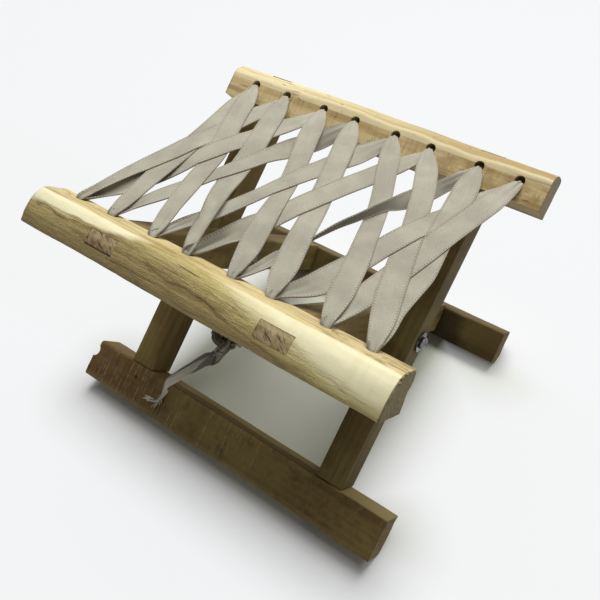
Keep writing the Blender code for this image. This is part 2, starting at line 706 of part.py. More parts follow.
for old in list(bpy.data.objects):
    bpy.data.objects.remove(old)
PARTS = bpy.data.collections.new("folding_stool")
CUTTERS = bpy.data.collections.new("cutters")
for group in (PARTS, CUTTERS):
    bpy.context.scene.collection.children.link(group)
SIDES = (("left", -1), ("right", 1))
EMPTIES = {}
make_empty("stool", (0, 0, 0), 0, None)
make_empty(INNER.name, PIVOT, 0.5 * math.pi - LEG_SLOPE, EMPTIES["stool"])
make_empty(OUTER.name, PIVOT, LEG_SLOPE - 0.5 * math.pi, EMPTIES["stool"])

PALE = make_material("pale_wood", (0.62, 0.47, 0.27), 0.6)
GOLDEN = make_material("golden_wood", (0.45, 0.31, 0.16), 0.6)
BROWN = make_material("brown_wood", (0.16, 0.10, 0.055), 0.7)
ZINC = make_material("zinc", (0.62, 0.62, 0.60), 0.3, 1.0)
NAIL = make_material("nail_steel", (0.10, 0.09, 0.08), 0.5, 1.0)
TAPE = make_material("taupe_tape", (0.40, 0.36, 0.32), 0.85)

back_foot, inner_legs = make_frame(INNER, {"top": PALE, "bottom": BROWN, "leg": BROWN, "brad": NAIL})
front_foot, outer_legs = make_frame(OUTER, {"top": GOLDEN, "bottom": BROWN, "leg": BROWN, "brad": NAIL})
chip_middle = OUTER.local(FRONT_BOTTOM.left, 0, -FRONT_BOTTOM_SHOULDER)
chip_size = (2 * CHIP_SETBACK, 2 * FRONT_BOTTOM_DEPTH, 2 * CHIP_HEIGHT)
boolean(front_foot, block("front_bottom_chip", chip_middle, chip_size, EMPTIES[OUTER.name]))
for suffix, side in SIDES:
    make_pivot(suffix, side, [inner_legs[suffix], outer_legs[suffix]], ZINC)

mesh_object("seat_lace", swept_tape(Lacing(LACE_ROUTE).stations()), EMPTIES["stool"], TAPE)
make_knot(TAPE)
make_tail(TAPE)
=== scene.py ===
"""Looks for a small folding stool: rough wooden frames, zinc pivot hardware and a seat of laced tape."""
import math
from collections import namedtuple

import bmesh
import bpy
import numpy as np
from mathutils import Matrix, Vector, noise


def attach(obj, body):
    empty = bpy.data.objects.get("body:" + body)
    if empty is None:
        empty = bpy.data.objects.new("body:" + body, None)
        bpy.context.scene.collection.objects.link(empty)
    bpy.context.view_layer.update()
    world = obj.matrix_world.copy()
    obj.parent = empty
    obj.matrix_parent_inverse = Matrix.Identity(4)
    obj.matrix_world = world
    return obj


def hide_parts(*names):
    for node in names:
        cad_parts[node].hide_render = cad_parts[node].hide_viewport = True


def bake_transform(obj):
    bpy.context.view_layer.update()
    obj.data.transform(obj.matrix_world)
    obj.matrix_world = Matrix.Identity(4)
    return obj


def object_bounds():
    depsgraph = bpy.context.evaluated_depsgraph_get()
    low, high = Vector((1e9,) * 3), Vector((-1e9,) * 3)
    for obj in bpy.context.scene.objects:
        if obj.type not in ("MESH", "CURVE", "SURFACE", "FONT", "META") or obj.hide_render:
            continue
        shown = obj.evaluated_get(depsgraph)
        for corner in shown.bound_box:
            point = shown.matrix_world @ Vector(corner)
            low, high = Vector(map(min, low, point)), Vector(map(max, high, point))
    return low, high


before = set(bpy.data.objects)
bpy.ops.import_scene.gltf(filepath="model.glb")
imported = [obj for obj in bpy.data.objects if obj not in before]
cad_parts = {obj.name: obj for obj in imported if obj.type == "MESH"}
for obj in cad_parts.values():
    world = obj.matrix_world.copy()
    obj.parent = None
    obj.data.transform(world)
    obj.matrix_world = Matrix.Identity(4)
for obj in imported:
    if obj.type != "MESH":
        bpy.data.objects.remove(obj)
CAD_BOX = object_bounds()

# The stool's own measures, in metres
PIVOT = Vector((0, 0.002978, 0.121403))
LEG_SLOPE = math.radians(39.7)
TENON_DEPTH = 0.012
FIT_GAP = 0.0003
RAIL_RISE = 0.0152
RAIL_UNDERSIDE = RAIL_RISE - 0.031
FRONT_HOLES = (-0.135, -0.0995, -0.0565, -0.022, 0.020, 0.054, 0.0995, 0.135)
BACK_HOLES = (-0.1255, -0.0895, -0.048, -0.014, 0.027, 0.061, 0.1055, 0.1405)
HOLE_LINE = 0.150
HOLE_RADIUS = 0.00425
HOLE_LENGTH = 0.08
WANE = 0.0011
WANE_LENGTH = 0.031
INNER_LEG_MIDDLE = 0.0796
OUTER_LEG_MIDDLE = 0.10855
INNER_TENON_WIDTH = 0.0275
OUTER_TENON_WIDTH = 0.020
TAPE_WIDTH = 0.020
TAPE_THICKNESS = 0.0009
TAPE_GAP = 0.00015
GATHERED_HALF = 0.0041
LACE_ROUTE = (
    "f6 b4 b3 f1 f2 b1 b2 f4 f3 b1 b2 f1 f2 b4 b3 f5 f6 b8 b7 f8 f7 b5 b6 f4 f3 b5 b6 f8 f7 b8 b7 f5"
).split()
TAIL_ROUTE = (
    (0.0330, -0.1446, 0.0708), (0.0285, -0.1430, 0.0650), (0.0190, -0.1400, 0.0540),
    (0.0090, -0.1369, 0.0405), (-0.0030, -0.1333, 0.0240), (-0.0160, -0.1300, 0.0065),
    (-0.0280, -0.1272, -0.0100), (-0.0400, -0.1245, -0.0265), (-0.0520, -0.1221, -0.0430),
    (-0.0620, -0.1204, -0.0565), (-0.0690, -0.1198, -0.0665), (-0.0726, -0.1208, -0.0745),
    (-0.0737, -0.1241, -0.0813), (-0.0737, -0.1281, -0.0853), (-0.0748, -0.1318, -0.0884),
    (-0.0783, -0.1343, -0.0905), (-0.0830, -0.1353, -0.0913),
)

# How finely the rails, the gathered tape and its tucked ends are drawn
RAIL_STATIONS = 150
GATHERED_PLACES = np.linspace(-1, 1, 11)
TUCK_STEPS = 7


def tone(red, green, blue):
    """A colour given in screen values from 0 to 255, as a shader takes it."""
    shares = [channel / 255 for channel in (red, green, blue)]
    return tuple(s / 12.92 if s <= 0.04045 else ((s + 0.055) / 1.055) ** 2.4 for s in shares) + (1.0,)


class Side:
    """One of the two frames: places in it are x across, w towards the seat and s up the legs."""

    def __init__(self, body, sign):
        self.body = body
        self.sign = sign
        self.tilt = sign * (0.5 * math.pi - LEG_SLOPE)
        self.towards_seat = Vector((0, sign * math.sin(LEG_SLOPE), math.cos(LEG_SLOPE)))
        self.up_legs = Vector((0, -sign * math.cos(LEG_SLOPE), math.sin(LEG_SLOPE)))

    def place(self, x, w, s):
        """A place in this frame, as the whole stool has it."""
        return PIVOT + Vector((x, 0, 0)) + w * self.towards_seat + s * self.up_legs


INNER = Side("inner_frame", 1)
OUTER = Side("outer_frame", -1)
BACKGROUND = tone(246, 247, 248)


class Value:
    """A number in a finish, with arithmetic that adds Math nodes."""

    def __init__(self, finish, socket):
        self.finish = finish
        self.socket = socket

    def math(self, operation, first, second=0.0):
        """Add one sum to the finish."""
        return self.finish.node("ShaderNodeMath", {"operation": operation},
                                {"Value": first, "Value_001": second})

    def __add__(self, other):
        return self.math("ADD", self, other)

    def __sub__(self, other):
        return self.math("SUBTRACT", self, other)

    def __rsub__(self, other):
        return self.math("SUBTRACT", other, self)

    def __mul__(self, other):
        return self.math("MULTIPLY", self, other)

    def __truediv__(self, other):
        return self.math("DIVIDE", self, other)

    def __pow__(self, other):
        return self.math("POWER", self, other)

    __radd__ = __add__
    __rmul__ = __mul__

    def sine(self):
        return self.math("SINE", self)

    def size(self):
        return self.math("ABSOLUTE", self)

    def share(self):
        """What is left after the whole number."""
        return self.math("FRACT", self)

    def least(self, other):
        return self.math("MINIMUM", self, other)

    def most(self, other):
        return self.math("MAXIMUM", self, other)

    def between(self, low, high):
        """0 below low, 1 above high and a smooth rise between them."""
        return self.finish.node("ShaderNodeMapRange", {"interpolation_type": "SMOOTHSTEP"},
                                {"Value": self, "From Min": low, "From Max": high}, "Result")


class Nodes:
    """A shader's node tree."""

    def __init__(self, tree):
        self.tree = tree

    def node(self, kind, settings, inputs, output=None):
        """Add a node and give its output back: the named one, or else the first."""
        made = self.tree.nodes.new(kind)
        for name, setting in settings.items():
            setattr(made, name, setting)
        sockets = {socket.identifier: socket for socket in made.inputs}
        for name, value in inputs.items():
            self.feed(sockets[name], value)
        outputs = {socket.identifier: socket for socket in made.outputs}
        return Value(self, outputs[output] if output else made.outputs[0])

    def feed(self, socket, value):
        """Link a value to a socket, or set a plain number or colour on it."""
        if isinstance(value, Value):
            self.tree.links.new(value.socket, socket)
        else:
            socket.default_value = value

    def seen(self):
        """1 where a surface is looked at, straight or in a shine, and 0 where it only gives light."""
        straight = self.node("ShaderNodeLightPath", {}, {}, "Is Camera Ray")
        mirrored = self.node("ShaderNodeLightPath", {}, {}, "Is Glossy Ray")
        through = self.node("ShaderNodeLightPath", {}, {}, "Is Transmission Ray")
        return (straight + mirrored + through).least(1.0)


class Finish(Nodes):
    """A procedural material."""

    def __init__(self, name):
        self.material = bpy.data.materials.new(name)
        self.material.use_nodes = True
        super().__init__(self.material.node_tree)
        self.shader = self.tree.nodes["Principled BSDF"]

    def set(self, **inputs):
        """Feed the shader; a name's underscores stand for spaces."""
        for name, value in inputs.items():
            self.feed(self.shader.inputs[name.replace("_", " ")], value)

    def blend(self, first, second, share):
        """A colour between two others."""
        return self.node("ShaderNodeMix", {"data_type": "RGBA"},
                         {"Factor_Float": share, "A_Color": first, "B_Color": second}, "Result_Color")

    def object_place(self):
        """A place on the piece, in metres."""
        return self.node("ShaderNodeTexCoord", {}, {}, "Object")

    def part(self, place, axis):
        """One of a place's three numbers."""
        return self.node("ShaderNodeSeparateXYZ", {}, {"Vector": place}, axis)

    def spot(self, x, y, z):
        """A place put together from three numbers."""
        return self.node("ShaderNodeCombineXYZ", {}, {"X": x, "Y": y, "Z": z})

    def stretched(self, place, scale):
        """A place times a scale for each axis."""
        return self.node("ShaderNodeVectorMath", {"operation": "MULTIPLY"},
                         {"Vector": place, "Vector_001": scale})

    def clouds(self, place, detail, roughness=0.55, distortion=0.0):
        """Noise from 0 to 1, with one wave to each unit of the place."""
        return self.node("ShaderNodeTexNoise", {},
                         {"Vector": place, "Scale": 1.0, "Detail": detail, "Roughness": roughness,
                          "Distortion": distortion})

    def flecks(self, place, scale, detail):
        """Noise of the same size all ways, in waves per metre."""
        return self.clouds(self.stretched(place, (scale, scale, scale)), detail)

    def bumped(self, height, distance, strength):
        """Raise and lower the surface by a pattern."""
        normal = self.node("ShaderNodeBump", {},
                           {"Height": height, "Distance": distance, "Strength": strength})
        self.set(Normal=normal)


class Timber(Finish):
    """Wood in a frame's own places: x across the stool, w towards the seat, s up the legs."""

    def __init__(self, name, side, along):
        super().__init__(name)
        self.along = along
        self.here = self.node("ShaderNodeMapping", {"vector_type": "TEXTURE"},
                              {"Vector": self.object_place(), "Location": PIVOT,
                               "Rotation": (side.tilt, 0, 0)})
        self.x = self.part(self.here, "X")
        self.w = side.sign * self.part(self.here, "Y")
        self.s = self.part(self.here, "Z")

    def fibres(self, along, across, detail, roughness=0.6, distortion=0.0):
        """Noise drawn out along the grain, in waves per metre."""
        scale = (along, across, across) if self.along == "x" else (across, across, along)
        return self.clouds(self.stretched(self.here, scale), detail, roughness, distortion)

    def patches(self, scale, detail):
        """Noise of the same size along and across the grain, in waves per metre."""
        return self.flecks(self.here, scale, detail)

    def rings(self, pith, spacing, wander):
        """Growth rings about a line along the grain, drawn off course by knots and bends."""
        first, second = (self.w, self.s) if self.along == "x" else (self.x, self.w)
        off = (self.fibres(9, 30, 2.0) - 0.5) * wander
        distance = ((first - pith[0]) ** 2 + (second - pith[1]) ** 2) ** 0.5 + off
        return ((distance * (2 * math.pi / spacing)).sine() * 0.5 + 0.5) ** 1.6

    def cracks(self, rows, width, rarity):
        """Thin dark splits along the grain: rows of them per metre, each with its own stretches."""
        length, depth = (self.x, self.w) if self.along == "x" else (self.s, self.x + self.w)
        lane = (depth + (self.fibres(9, 20, 2.0) - 0.5) * 0.010) * rows
        row = lane - lane.share()
        line = 1 - (lane.share() - 0.5).size().between(0.0, width)
        place = self.spot(length * 22, row * 3.7, row * 1.3)
        return line * self.clouds(place, 1.0).between(rarity, rarity + 0.06)


def pale_rail_finish():
    """The front top rail: smooth creamy wood towards both ends, brown fibrous wood between and below."""
    wood = Timber("pale_half_round", INNER, "x")
    rings = wood.rings((0.012, 0.150), 0.0042, 0.012)
    fine = wood.fibres(16, 620, 4.0)
    broad = wood.fibres(9, 150, 5.0, 0.68, 1.2)
    streak = broad.between(0.42, 0.62)
    low = 1 - wood.w.between(-0.014, 0.001)

    # The line between the two woods wanders, and drops towards both ends
    wander = (wood.fibres(10, 30, 3.0) - 0.5) * 0.022
    from_middle = wood.x + 0.008
    height = wood.w + wander - 0.0165 + 0.120 * from_middle.size() + 0.035 * from_middle
    soft_edge = 0.0022 + 0.0045 * wood.x.between(-0.02, 0.05)
    creamy = (height / soft_edge).between(-1.2, 1.2)

    # Fibrous wood: streaks, lines, fuzz and dark growth rings, yellower near the creamy wood
    lines = wood.fibres(13, 240, 5.0, 0.7, 1.6).between(0.52, 0.66)
    fuzz_place = wood.spot(wood.x * 420, wood.w * 900, wood.s * 900)
    fuzz = wood.clouds(fuzz_place, 3.0, 0.7).between(0.40, 0.66)
    fibrous = wood.blend(tone(194, 175, 116), tone(144, 122, 78), streak * 0.75)
    fibrous = wood.blend(fibrous, tone(120, 98, 60), lines * 0.25 + fuzz * 0.28)
    bend = (wood.fibres(16, 40, 3.0) - 0.5) * 0.022
    wave = (wood.w * 0.55 - wood.s * 0.45 + wood.x * 0.11 + bend) * (2 * math.pi / 0.0105)
    growth = (wave.sine() * 0.5 + 0.5) ** 9 * wood.fibres(14, 60, 2.0).between(0.40, 0.58)
    fibrous = wood.blend(fibrous, tone(94, 72, 40), growth * 0.8)
    fibrous = wood.blend(fibrous, tone(158, 137, 90), low * 0.5)
    yellow = height.between(-0.014, -0.001) * wood.x.between(-0.08, 0.02)
    fibrous = wood.blend(fibrous, tone(208, 193, 122), yellow * 0.7)

    # Creamy wood: faint planing chatter, and dark streaks where it starts
    chatter = wood.clouds(wood.spot(wood.x * 150, wood.w * 16, wood.s * 16), 3.0).between(0.45, 0.7)
    shaded = streak * 0.14 + chatter * 0.2 + low * 0.4
    smooth = wood.blend(tone(247, 239, 198), tone(222, 206, 152), shaded)
    colour = wood.blend(fibrous, smooth, creamy)
    border = (1 - height.size().between(0.0, 0.0014)) * (1 - wood.x.between(-0.01, 0.04) * 0.8)
    dark_streak = border * wood.fibres(10, 60, 3.0).between(0.42, 0.58)
    colour = wood.blend(colour, tone(112, 84, 44), dark_streak * 0.6)

    # The sawn strip with the holes, torn most at the right
    strip = wood.w.between(RAIL_RISE - 0.0016, RAIL_RISE - 0.0006)
    sawn_streak = wood.fibres(14, 260, 4.0).between(0.44, 0.66)
    sawn = wood.blend(tone(212, 192, 134), tone(164, 136, 82), sawn_streak)
    at_right = 0.35 + wood.x.between(0.08, 0.12) * 0.65
    torn = wood.fibres(45, 420, 4.0, 0.65).between(0.50, 0.60) * at_right
    sawn = wood.blend(sawn, tone(104, 72, 38), torn * 0.7)
    colour = wood.blend(colour, sawn, strip * 0.9)

    # Splits, specks and the sawn ends
    split = wood.cracks(130, 0.05, 0.63) * (1 - creamy) * (1 - wood.x.between(0.09, 0.11))
    colour = wood.blend(colour, tone(64, 44, 24), split * 0.75)
    specks = wood.fibres(60, 190, 2.0).between(0.68, 0.75) * (1 - creamy)
    colour = wood.blend(colour, tone(92, 66, 36), specks * 0.5)
    end = wood.x.between(0.1634, 0.1640) + (1 - wood.x.between(-0.1604, -0.1600))
    end_colour = end_grain_colour(wood, tone(138, 125, 88), tone(104, 91, 58), rings)
    colour = wood.blend(colour, end_colour, end)
    roughness = 0.44 + fine * 0.14 + streak * 0.12 + end * 0.2
    wood.set(Base_Color=colour, Roughness=roughness, Specular_IOR_Level=0.25)
    rough_up = 1.1 - creamy
    rough_grain = broad - lines * 0.5 - growth * 0.5 + fuzz * 0.25
    relief = fine * 0.25 * rough_up + rough_grain * rough_up + chatter * 0.2 - split * 1.4
    wood.bumped(relief, 0.0009, 0.75)
    return wood.material


def end_grain_colour(wood, pale, dark, rings):
    """Sawn end: ring arcs and a rough speckle."""
    speckle = wood.patches(900, 3.0)
    colour = wood.blend(pale, dark, rings * 0.35)
    return wood.blend(colour, dark, speckle.between(0.45, 0.7) * 0.6)


def golden_rail_finish():
    """The back top rail: pale on its rounded top, browner on the sawn face with the holes."""
    wood = Timber("golden_rail", OUTER, "x")
    rings = wood.rings((-0.02, 0.140), 0.0046, 0.010)
    fine = wood.fibres(16, 620, 4.0)
    broad = wood.fibres(6, 120, 4.0, 0.6, 0.3)

    # The rounded top, browner towards the right
    right = wood.x.between(-0.11, 0.13)
    top = wood.blend(tone(228, 213, 166), tone(172, 150, 102), right)
    top = wood.blend(top, tone(186, 156, 100), broad.between(0.42, 0.70) * 0.6)

    # The sawn face, lighter at the left, worn at the right and pale along its upper edge
    face = wood.w.between(RAIL_RISE - 0.0016, RAIL_RISE - 0.0007)
    marks = saw_marks(wood, 420, 0.0012) * wood.patches(85, 4.0).between(0.40, 0.60)
    sawn = wood.blend(tone(220, 197, 145), tone(182, 153, 99), broad.between(0.40, 0.64))
    sawn = wood.blend(sawn, tone(240, 217, 164), (1 - wood.x.between(-0.14, 0.0)) * 0.4)
    sawn = wood.blend(sawn, tone(126, 96, 52), marks * 0.5)
    worn = wood.patches(70, 4.0).between(0.38, 0.60) * wood.x.between(-0.02, 0.09)
    sawn = wood.blend(sawn, tone(140, 108, 62), worn * 0.5)
    arris = (wood.s + (fine - 0.5) * 0.001).between(0.1510, 0.1526)
    colour = wood.blend(top, sawn, face * (1 - arris))
    colour = wood.blend(colour, tone(240, 225, 178), face * arris * 0.75)

    # Dark streaks, specks, splits, the shaded underside and the sawn ends
    colour = wood.blend(colour, tone(140, 110, 62), wood.fibres(9, 150, 3.0).between(0.58, 0.74) * 0.6)
    specks = wood.fibres(70, 210, 2.0).between(0.66, 0.74)
    colour = wood.blend(colour, tone(88, 64, 36), specks * 0.6)
    split = wood.cracks(150, 0.05, 0.64)
    colour = wood.blend(colour, tone(72, 50, 28), split * 0.7)
    low = 1 - wood.w.between(-0.0155, -0.002)
    colour = wood.blend(colour, tone(118, 95, 56), low * 0.8)
    end = (wood.x - 0.005).size().between(0.1588, 0.1595)
    end_colour = end_grain_colour(wood, tone(140, 120, 80), tone(102, 82, 50), rings)
    colour = wood.blend(colour, end_colour, end)
    wood.set(Base_Color=colour, Roughness=0.5 + fine * 0.16 + face * 0.08, Specular_IOR_Level=0.25)
    wood.bumped(fine * 0.4 + broad * 0.5 + face * marks * 0.4 - split * 1.4, 0.0006, 0.5)
    return wood.material


def saw_marks(wood, waves, wander):
    """Thin cross-grain kerf lines at uneven spacing."""
    off = (wood.patches(40, 2.0) - 0.5) * wander * 2
    lines = wood.clouds(wood.spot((wood.x + off) * waves, wood.w * 9, wood.s * 9), 3.0, 0.6)
    return lines.between(0.50, 0.66)


def front_foot_marks(wood, colour, painted_light_tone, sawn):
    """The front foot's own colours and saw marks: its colour, and the relief of the marks."""
    face = wood.w.between(sawn - 0.0012, sawn - 0.0004)
    left = 1 - wood.x.between(-0.13, 0.02)
    colour = wood.blend(colour, painted_light_tone(122, 88, 58), left * 0.4)
    middle = 1 - wood.x.size().between(0.04, 0.11)
    colour = wood.blend(colour, painted_light_tone(146, 130, 78), middle * 0.4)

    # The upper side: painted shade along its front edge, so that it reads as the shaded front face, and a
    # lighter patch at the right
    top = wood.s.between(-0.1405, -0.1396)
    edge_shade = (wood.w + (wood.fibres(20, 60, 2.0) - 0.5) * 0.006).between(0.0005, 0.0022)
    colour = wood.blend(colour, painted_light_tone(84, 68, 38), top * edge_shade * wood.x.between(-0.10, -0.08))
    colour = wood.blend(colour, painted_light_tone(164, 145, 98), top * wood.x.between(0.105, 0.125) * 0.7)

    # The sawn face: dark scores and light marks that fade to a mottle at the right
    uneven = wood.patches(44, 3.0).between(0.36, 0.60) * (0.5 + left * 0.5)
    sawn_part = 1 - wood.x.between(-0.02, 0.09) * 0.85
    dashes = wood.patches(190, 3.0).between(0.40, 0.58)
    marks = saw_marks(wood, 760, 0.001) * dashes * sawn_part
    broken = (0.25 + uneven * 0.75) * (0.3 + dashes * 0.7)
    scores = saw_marks(wood, 520, 0.002) * broken * sawn_part
    colour = wood.blend(colour, painted_light_tone(52, 38, 22), face * scores * 0.7)
    colour = wood.blend(colour, painted_light_tone(184, 158, 114), face * marks * 0.7)
    mottle = wood.patches(230, 3.0).between(0.46, 0.66) * (1 - sawn_part)
    colour = wood.blend(colour, painted_light_tone(142, 116, 76), face * mottle * 0.55)

    # Pale wane along the lower edge, and soot
    wane = (1 - wood.s.between(-0.1745, -0.1715)) * wood.fibres(8, 30, 2.0).between(0.36, 0.56)
    colour = wood.blend(colour, painted_light_tone(160, 142, 92), wane * 0.55)
    smudge = wood.patches(64, 5.0).between(0.50, 0.72)
    colour = wood.blend(colour, painted_light_tone(40, 30, 18), face * smudge * 0.4)
    return colour, face * (marks - scores)


def tenon_tips(wood, colour, dark, blotch):
    """A leg's two tenon ends, the upper one with knife cuts: the colour, and the depth of the cuts."""
    tip = wood.s.size().between(0.151, 0.153)
    slant = wood.spot((wood.x + wood.w * 1.3) * 420, (wood.x - wood.w) * 60, 0.0)
    cuts = wood.clouds(slant, 3.0, 0.6, 0.4).between(0.54, 0.62)
    patch = wood.patches(120, 3.0).between(0.38, 0.66)
    tip_colour = wood.blend(tone(182, 162, 124), tone(132, 108, 75), patch)
    tip_colour = wood.blend(tip_colour, tone(74, 54, 34), cuts * 0.8)
    planed = (wood.w + (blotch - 0.5) * 0.004).between(0.0012, 0.0034) * wood.x.between(0.0, 0.02)
    tip_colour = wood.blend(tip_colour, tone(214, 199, 150), planed * 0.6)
    gap = (1 - wood.w.between(-0.0056, -0.0044)) * (1 - wood.x.between(-0.02, 0.0))
    tip_colour = wood.blend(tip_colour, tone(58, 42, 26), gap * 0.85)
    tip_colour = wood.blend(dark, tip_colour, wood.s.between(0.0, 0.01))
    return wood.blend(colour, tip_colour, tip), tip * cuts


def brown_batten_finish(name, side, along, lift, sawn=None):
    """Rough brown batten. lift scales its colour, painting light above 1 and shade below 1, and sawn is
    the height w of the front foot's sawn face.
    """
    wood = Timber(name, side, along)

    # A tone scaled by lift: above 1 it paints light, below 1 it paints shade
    def painted_light_tone(red, green, blue):
        return tuple(lift * channel for channel in tone(red, green, blue)[:3]) + (1.0,)

    dark, blackish = painted_light_tone(73, 58, 33), painted_light_tone(40, 30, 18)
    rings = wood.rings((-0.03, 0.012), 0.0060, 0.010)
    fine = wood.fibres(14, 520, 4.0)
    broad = wood.fibres(5, 85, 4.0, 0.62, 0.4)
    blotch = wood.patches(26, 3.0)
    colour = wood.blend(painted_light_tone(120, 101, 60), dark, broad.between(0.42, 0.68) * 0.6)
    colour = wood.blend(colour, painted_light_tone(148, 132, 82), blotch.between(0.46, 0.66) * 0.5)
    colour = wood.blend(colour, dark, rings * 0.2)
    height = fine * 0.5 + broad * 0.5
    if sawn is not None:
        colour, kerfs = front_foot_marks(wood, colour, painted_light_tone, sawn)
        height = height + kerfs * 0.8
    elif along == "x":
        # Painted shadow on the back foot beside the right inner leg
        leg_shadow = 1 - (wood.x - 0.100 + (blotch - 0.5) * 0.02).size().between(0.012, 0.030)
        colour = wood.blend(colour, blackish, leg_shadow * (1 - wood.w.between(0.008, 0.012)) * 0.75)
    split = wood.cracks(150, 0.04, 0.62)
    colour = wood.blend(colour, blackish, split * 0.7)
    if along == "s":
        colour, cuts = tenon_tips(wood, colour, dark, blotch)
        height = height - cuts * 0.8
    wood.set(Base_Color=colour, Roughness=0.58 + fine * 0.2, Specular_IOR_Level=0.12)
    wood.bumped(height - split * 1.2, 0.0007, 0.6)
    return wood.material


def zinc_finish():
    """Bright plating with a faint grain and dull spots."""
    zinc = Finish("bright_zinc")
    here = zinc.object_place()
    dull = zinc.flecks(here, 260, 4.0)
    grain = zinc.clouds(zinc.stretched(here, (2600, 900, 900)), 2.0)
    zinc.set(Base_Color=zinc.blend(tone(118, 119, 116), tone(78, 78, 73), dull.between(0.44, 0.66)),
             Roughness=0.16 + dull * 0.16 + grain * 0.06, Metallic=1.0)
    zinc.bumped(grain + dull, 0.0002, 0.25)
    return zinc.material


def nail_finish():
    """Dark steel with a trace of rust."""
    steel = Finish("dark_brad")
    rust = steel.flecks(steel.object_place(), 700, 4.0)
    steel.set(Base_Color=steel.blend(tone(62, 56, 50), tone(88, 54, 34), rust.between(0.5, 0.66)),
              Roughness=0.42 + rust * 0.25, Metallic=1.0 - rust.between(0.52, 0.66) * 0.7)
    steel.bumped(rust, 0.0002, 0.4)
    return steel.material


def tail_painted_light_and_shade(tape, colour, across, along):
    """The free end: painted shade along its fold and past a slanting line from the knot, and painted
    light that makes it paler to its end.
    """
    fold = 1 - (across + along * 1.5).between(0.36, 0.46)
    slant = (across - 0.30 - along * 10).between(-0.05, 0.05)
    colour = tape.blend(colour, tone(240, 230, 212), along.between(0.02, 0.17) * 0.8)
    return tape.blend(colour, tone(92, 88, 76), fold.most(slant) * 0.9)


def knot_grime_and_shade(tape, colour, across, along):
    """The knot: greyer all over, partly from handling dirt and partly painted shade."""
    return tape.blend(colour, tone(96, 92, 79), 0.35 + 0.2 * (across * 9 + along * 300).sine())


def tape_finish(name, painted_light_and_grime=None):
    """Woven tape: canvas weave, a stitched line inside each edge and uneven dye. A given function adds
    painted light and shade, with grime on the knot; without one, painted shade darkens the tape where it
    is turned from lying flat.
    """
    tape = Finish(name)
    place = tape.node("ShaderNodeUVMap", {"uv_map": "tape"}, {})
    across = tape.part(place, "X")
    along = tape.part(place, "Y")
    weft = (along * (2 * math.pi * 720)).sine()
    warp = (across * (2 * math.pi * 15)).sine()
    weave = weft * warp
    here = tape.object_place()
    dye = tape.flecks(here, 30, 3.0)
    fuzz = tape.flecks(here, 1100, 2.0)
    drawn = tape.clouds(tape.spot(across * 26, along * 26, 0.0), 3.0)
    colour = tape.blend(tone(193, 189, 170), tone(174, 169, 153), dye.between(0.36, 0.66))
    shaded = (weave * 0.5 + 0.5) * 0.26 + fuzz.between(0.4, 0.75) * 0.24
    colour = tape.blend(colour, tone(138, 132, 116), shaded)
    colour = tape.blend(colour, tone(208, 202, 188), drawn.between(0.52, 0.74) * 0.25)
    from_edge = 0.5 - (across - 0.5).size()
    seam = 1 - (from_edge - 0.056).size().between(0.012, 0.034)
    colour = tape.blend(colour, tone(98, 89, 78), seam * 0.5)
    colour = tape.blend(colour, tone(120, 110, 97), (1 - from_edge.between(0.0, 0.026)) * 0.55)
    # Painted light and shade, with grime on the knot, from the given function
    if painted_light_and_grime:
        colour = painted_light_and_grime(tape, colour, across + (drawn - 0.5) * 0.16, along)
    else:
        # Painted shade where the tape is turned from lying flat
        turned = tape.node("ShaderNodeAttribute", {"attribute_name": "turned"}, {}, "Fac")
        colour = tape.blend(colour, tone(112, 106, 92), turned.between(0.22, 0.62) * 0.5)
    tape.set(Base_Color=colour, Roughness=0.78 + fuzz * 0.16, Specular_IOR_Level=0.12,
             Sheen_Weight=0.08, Sheen_Roughness=0.5)
    tape.bumped(weave * 0.5 + fuzz * 0.4 - seam * 0.9 + drawn * 0.6, 0.00026, 0.7)
    return tape.material


def thread_finish():
    """Sewing thread and loose yarn ends."""
    thread = Finish("pale_thread")
    twist = thread.flecks(thread.object_place(), 1900, 2.0)
    colour = thread.blend(tone(236, 226, 204), tone(198, 186, 164), twist.between(0.4, 0.66))
    thread.set(Base_Color=colour, Roughness=0.72 + twist * 0.18, Specular_IOR_Level=0.25)
    thread.bumped(twist, 0.0001, 0.5)
    return thread.material


def add_object(name, data):
    """Put a mesh, curve, lamp or camera in the scene, at the origin."""
    obj = bpy.data.objects.new(name, data)
    bpy.context.scene.collection.objects.link(obj)
    return obj


def shade_round(mesh, angle):
    """Shade a mesh smooth, with edges sharper than an angle in degrees kept crisp."""
    mesh.shade_smooth()
    mesh.set_sharp_from_angle(angle=math.radians(angle))


def mesh_piece(name, points, faces, finish, smooth_angle=40, uvs=None):
    """A mesh object. uvs gives each point's place on the tape and how far the tape is turned there."""
    mesh = bpy.data.meshes.new(name)
    mesh.from_pydata([tuple(point) for point in points], [], faces)
    shade_round(mesh, smooth_angle)
    if uvs is not None:
        layer = mesh.uv_layers.new(name="tape")
        for loop in mesh.loops:
            layer.data[loop.index].uv = uvs[loop.vertex_index][:2]
        turned = mesh.attributes.new("turned", "FLOAT", "POINT")
        turned.data.foreach_set("value", [place[2] for place in uvs])
    mesh.materials.append(finish)
    return add_object(name, mesh)


def face_outwards(obj):
    """Turn the faces of a closed mesh outwards."""
    bm = bmesh.new()
    bm.from_mesh(obj.data)
    bmesh.ops.recalc_face_normals(bm, faces=bm.faces)
    bm.to_mesh(obj.data)
    bm.free()


def plain_mesh(obj):
    """The mesh that an object's curve or modifiers come to."""
    graph = bpy.context.evaluated_depsgraph_get()
    return bpy.data.meshes.new_from_object(obj.evaluated_get(graph))


def settle(obj):
    """Turn an object's modifiers into a plain mesh."""
    mesh = plain_mesh(obj)
    obj.modifiers.clear()
    obj.data = mesh


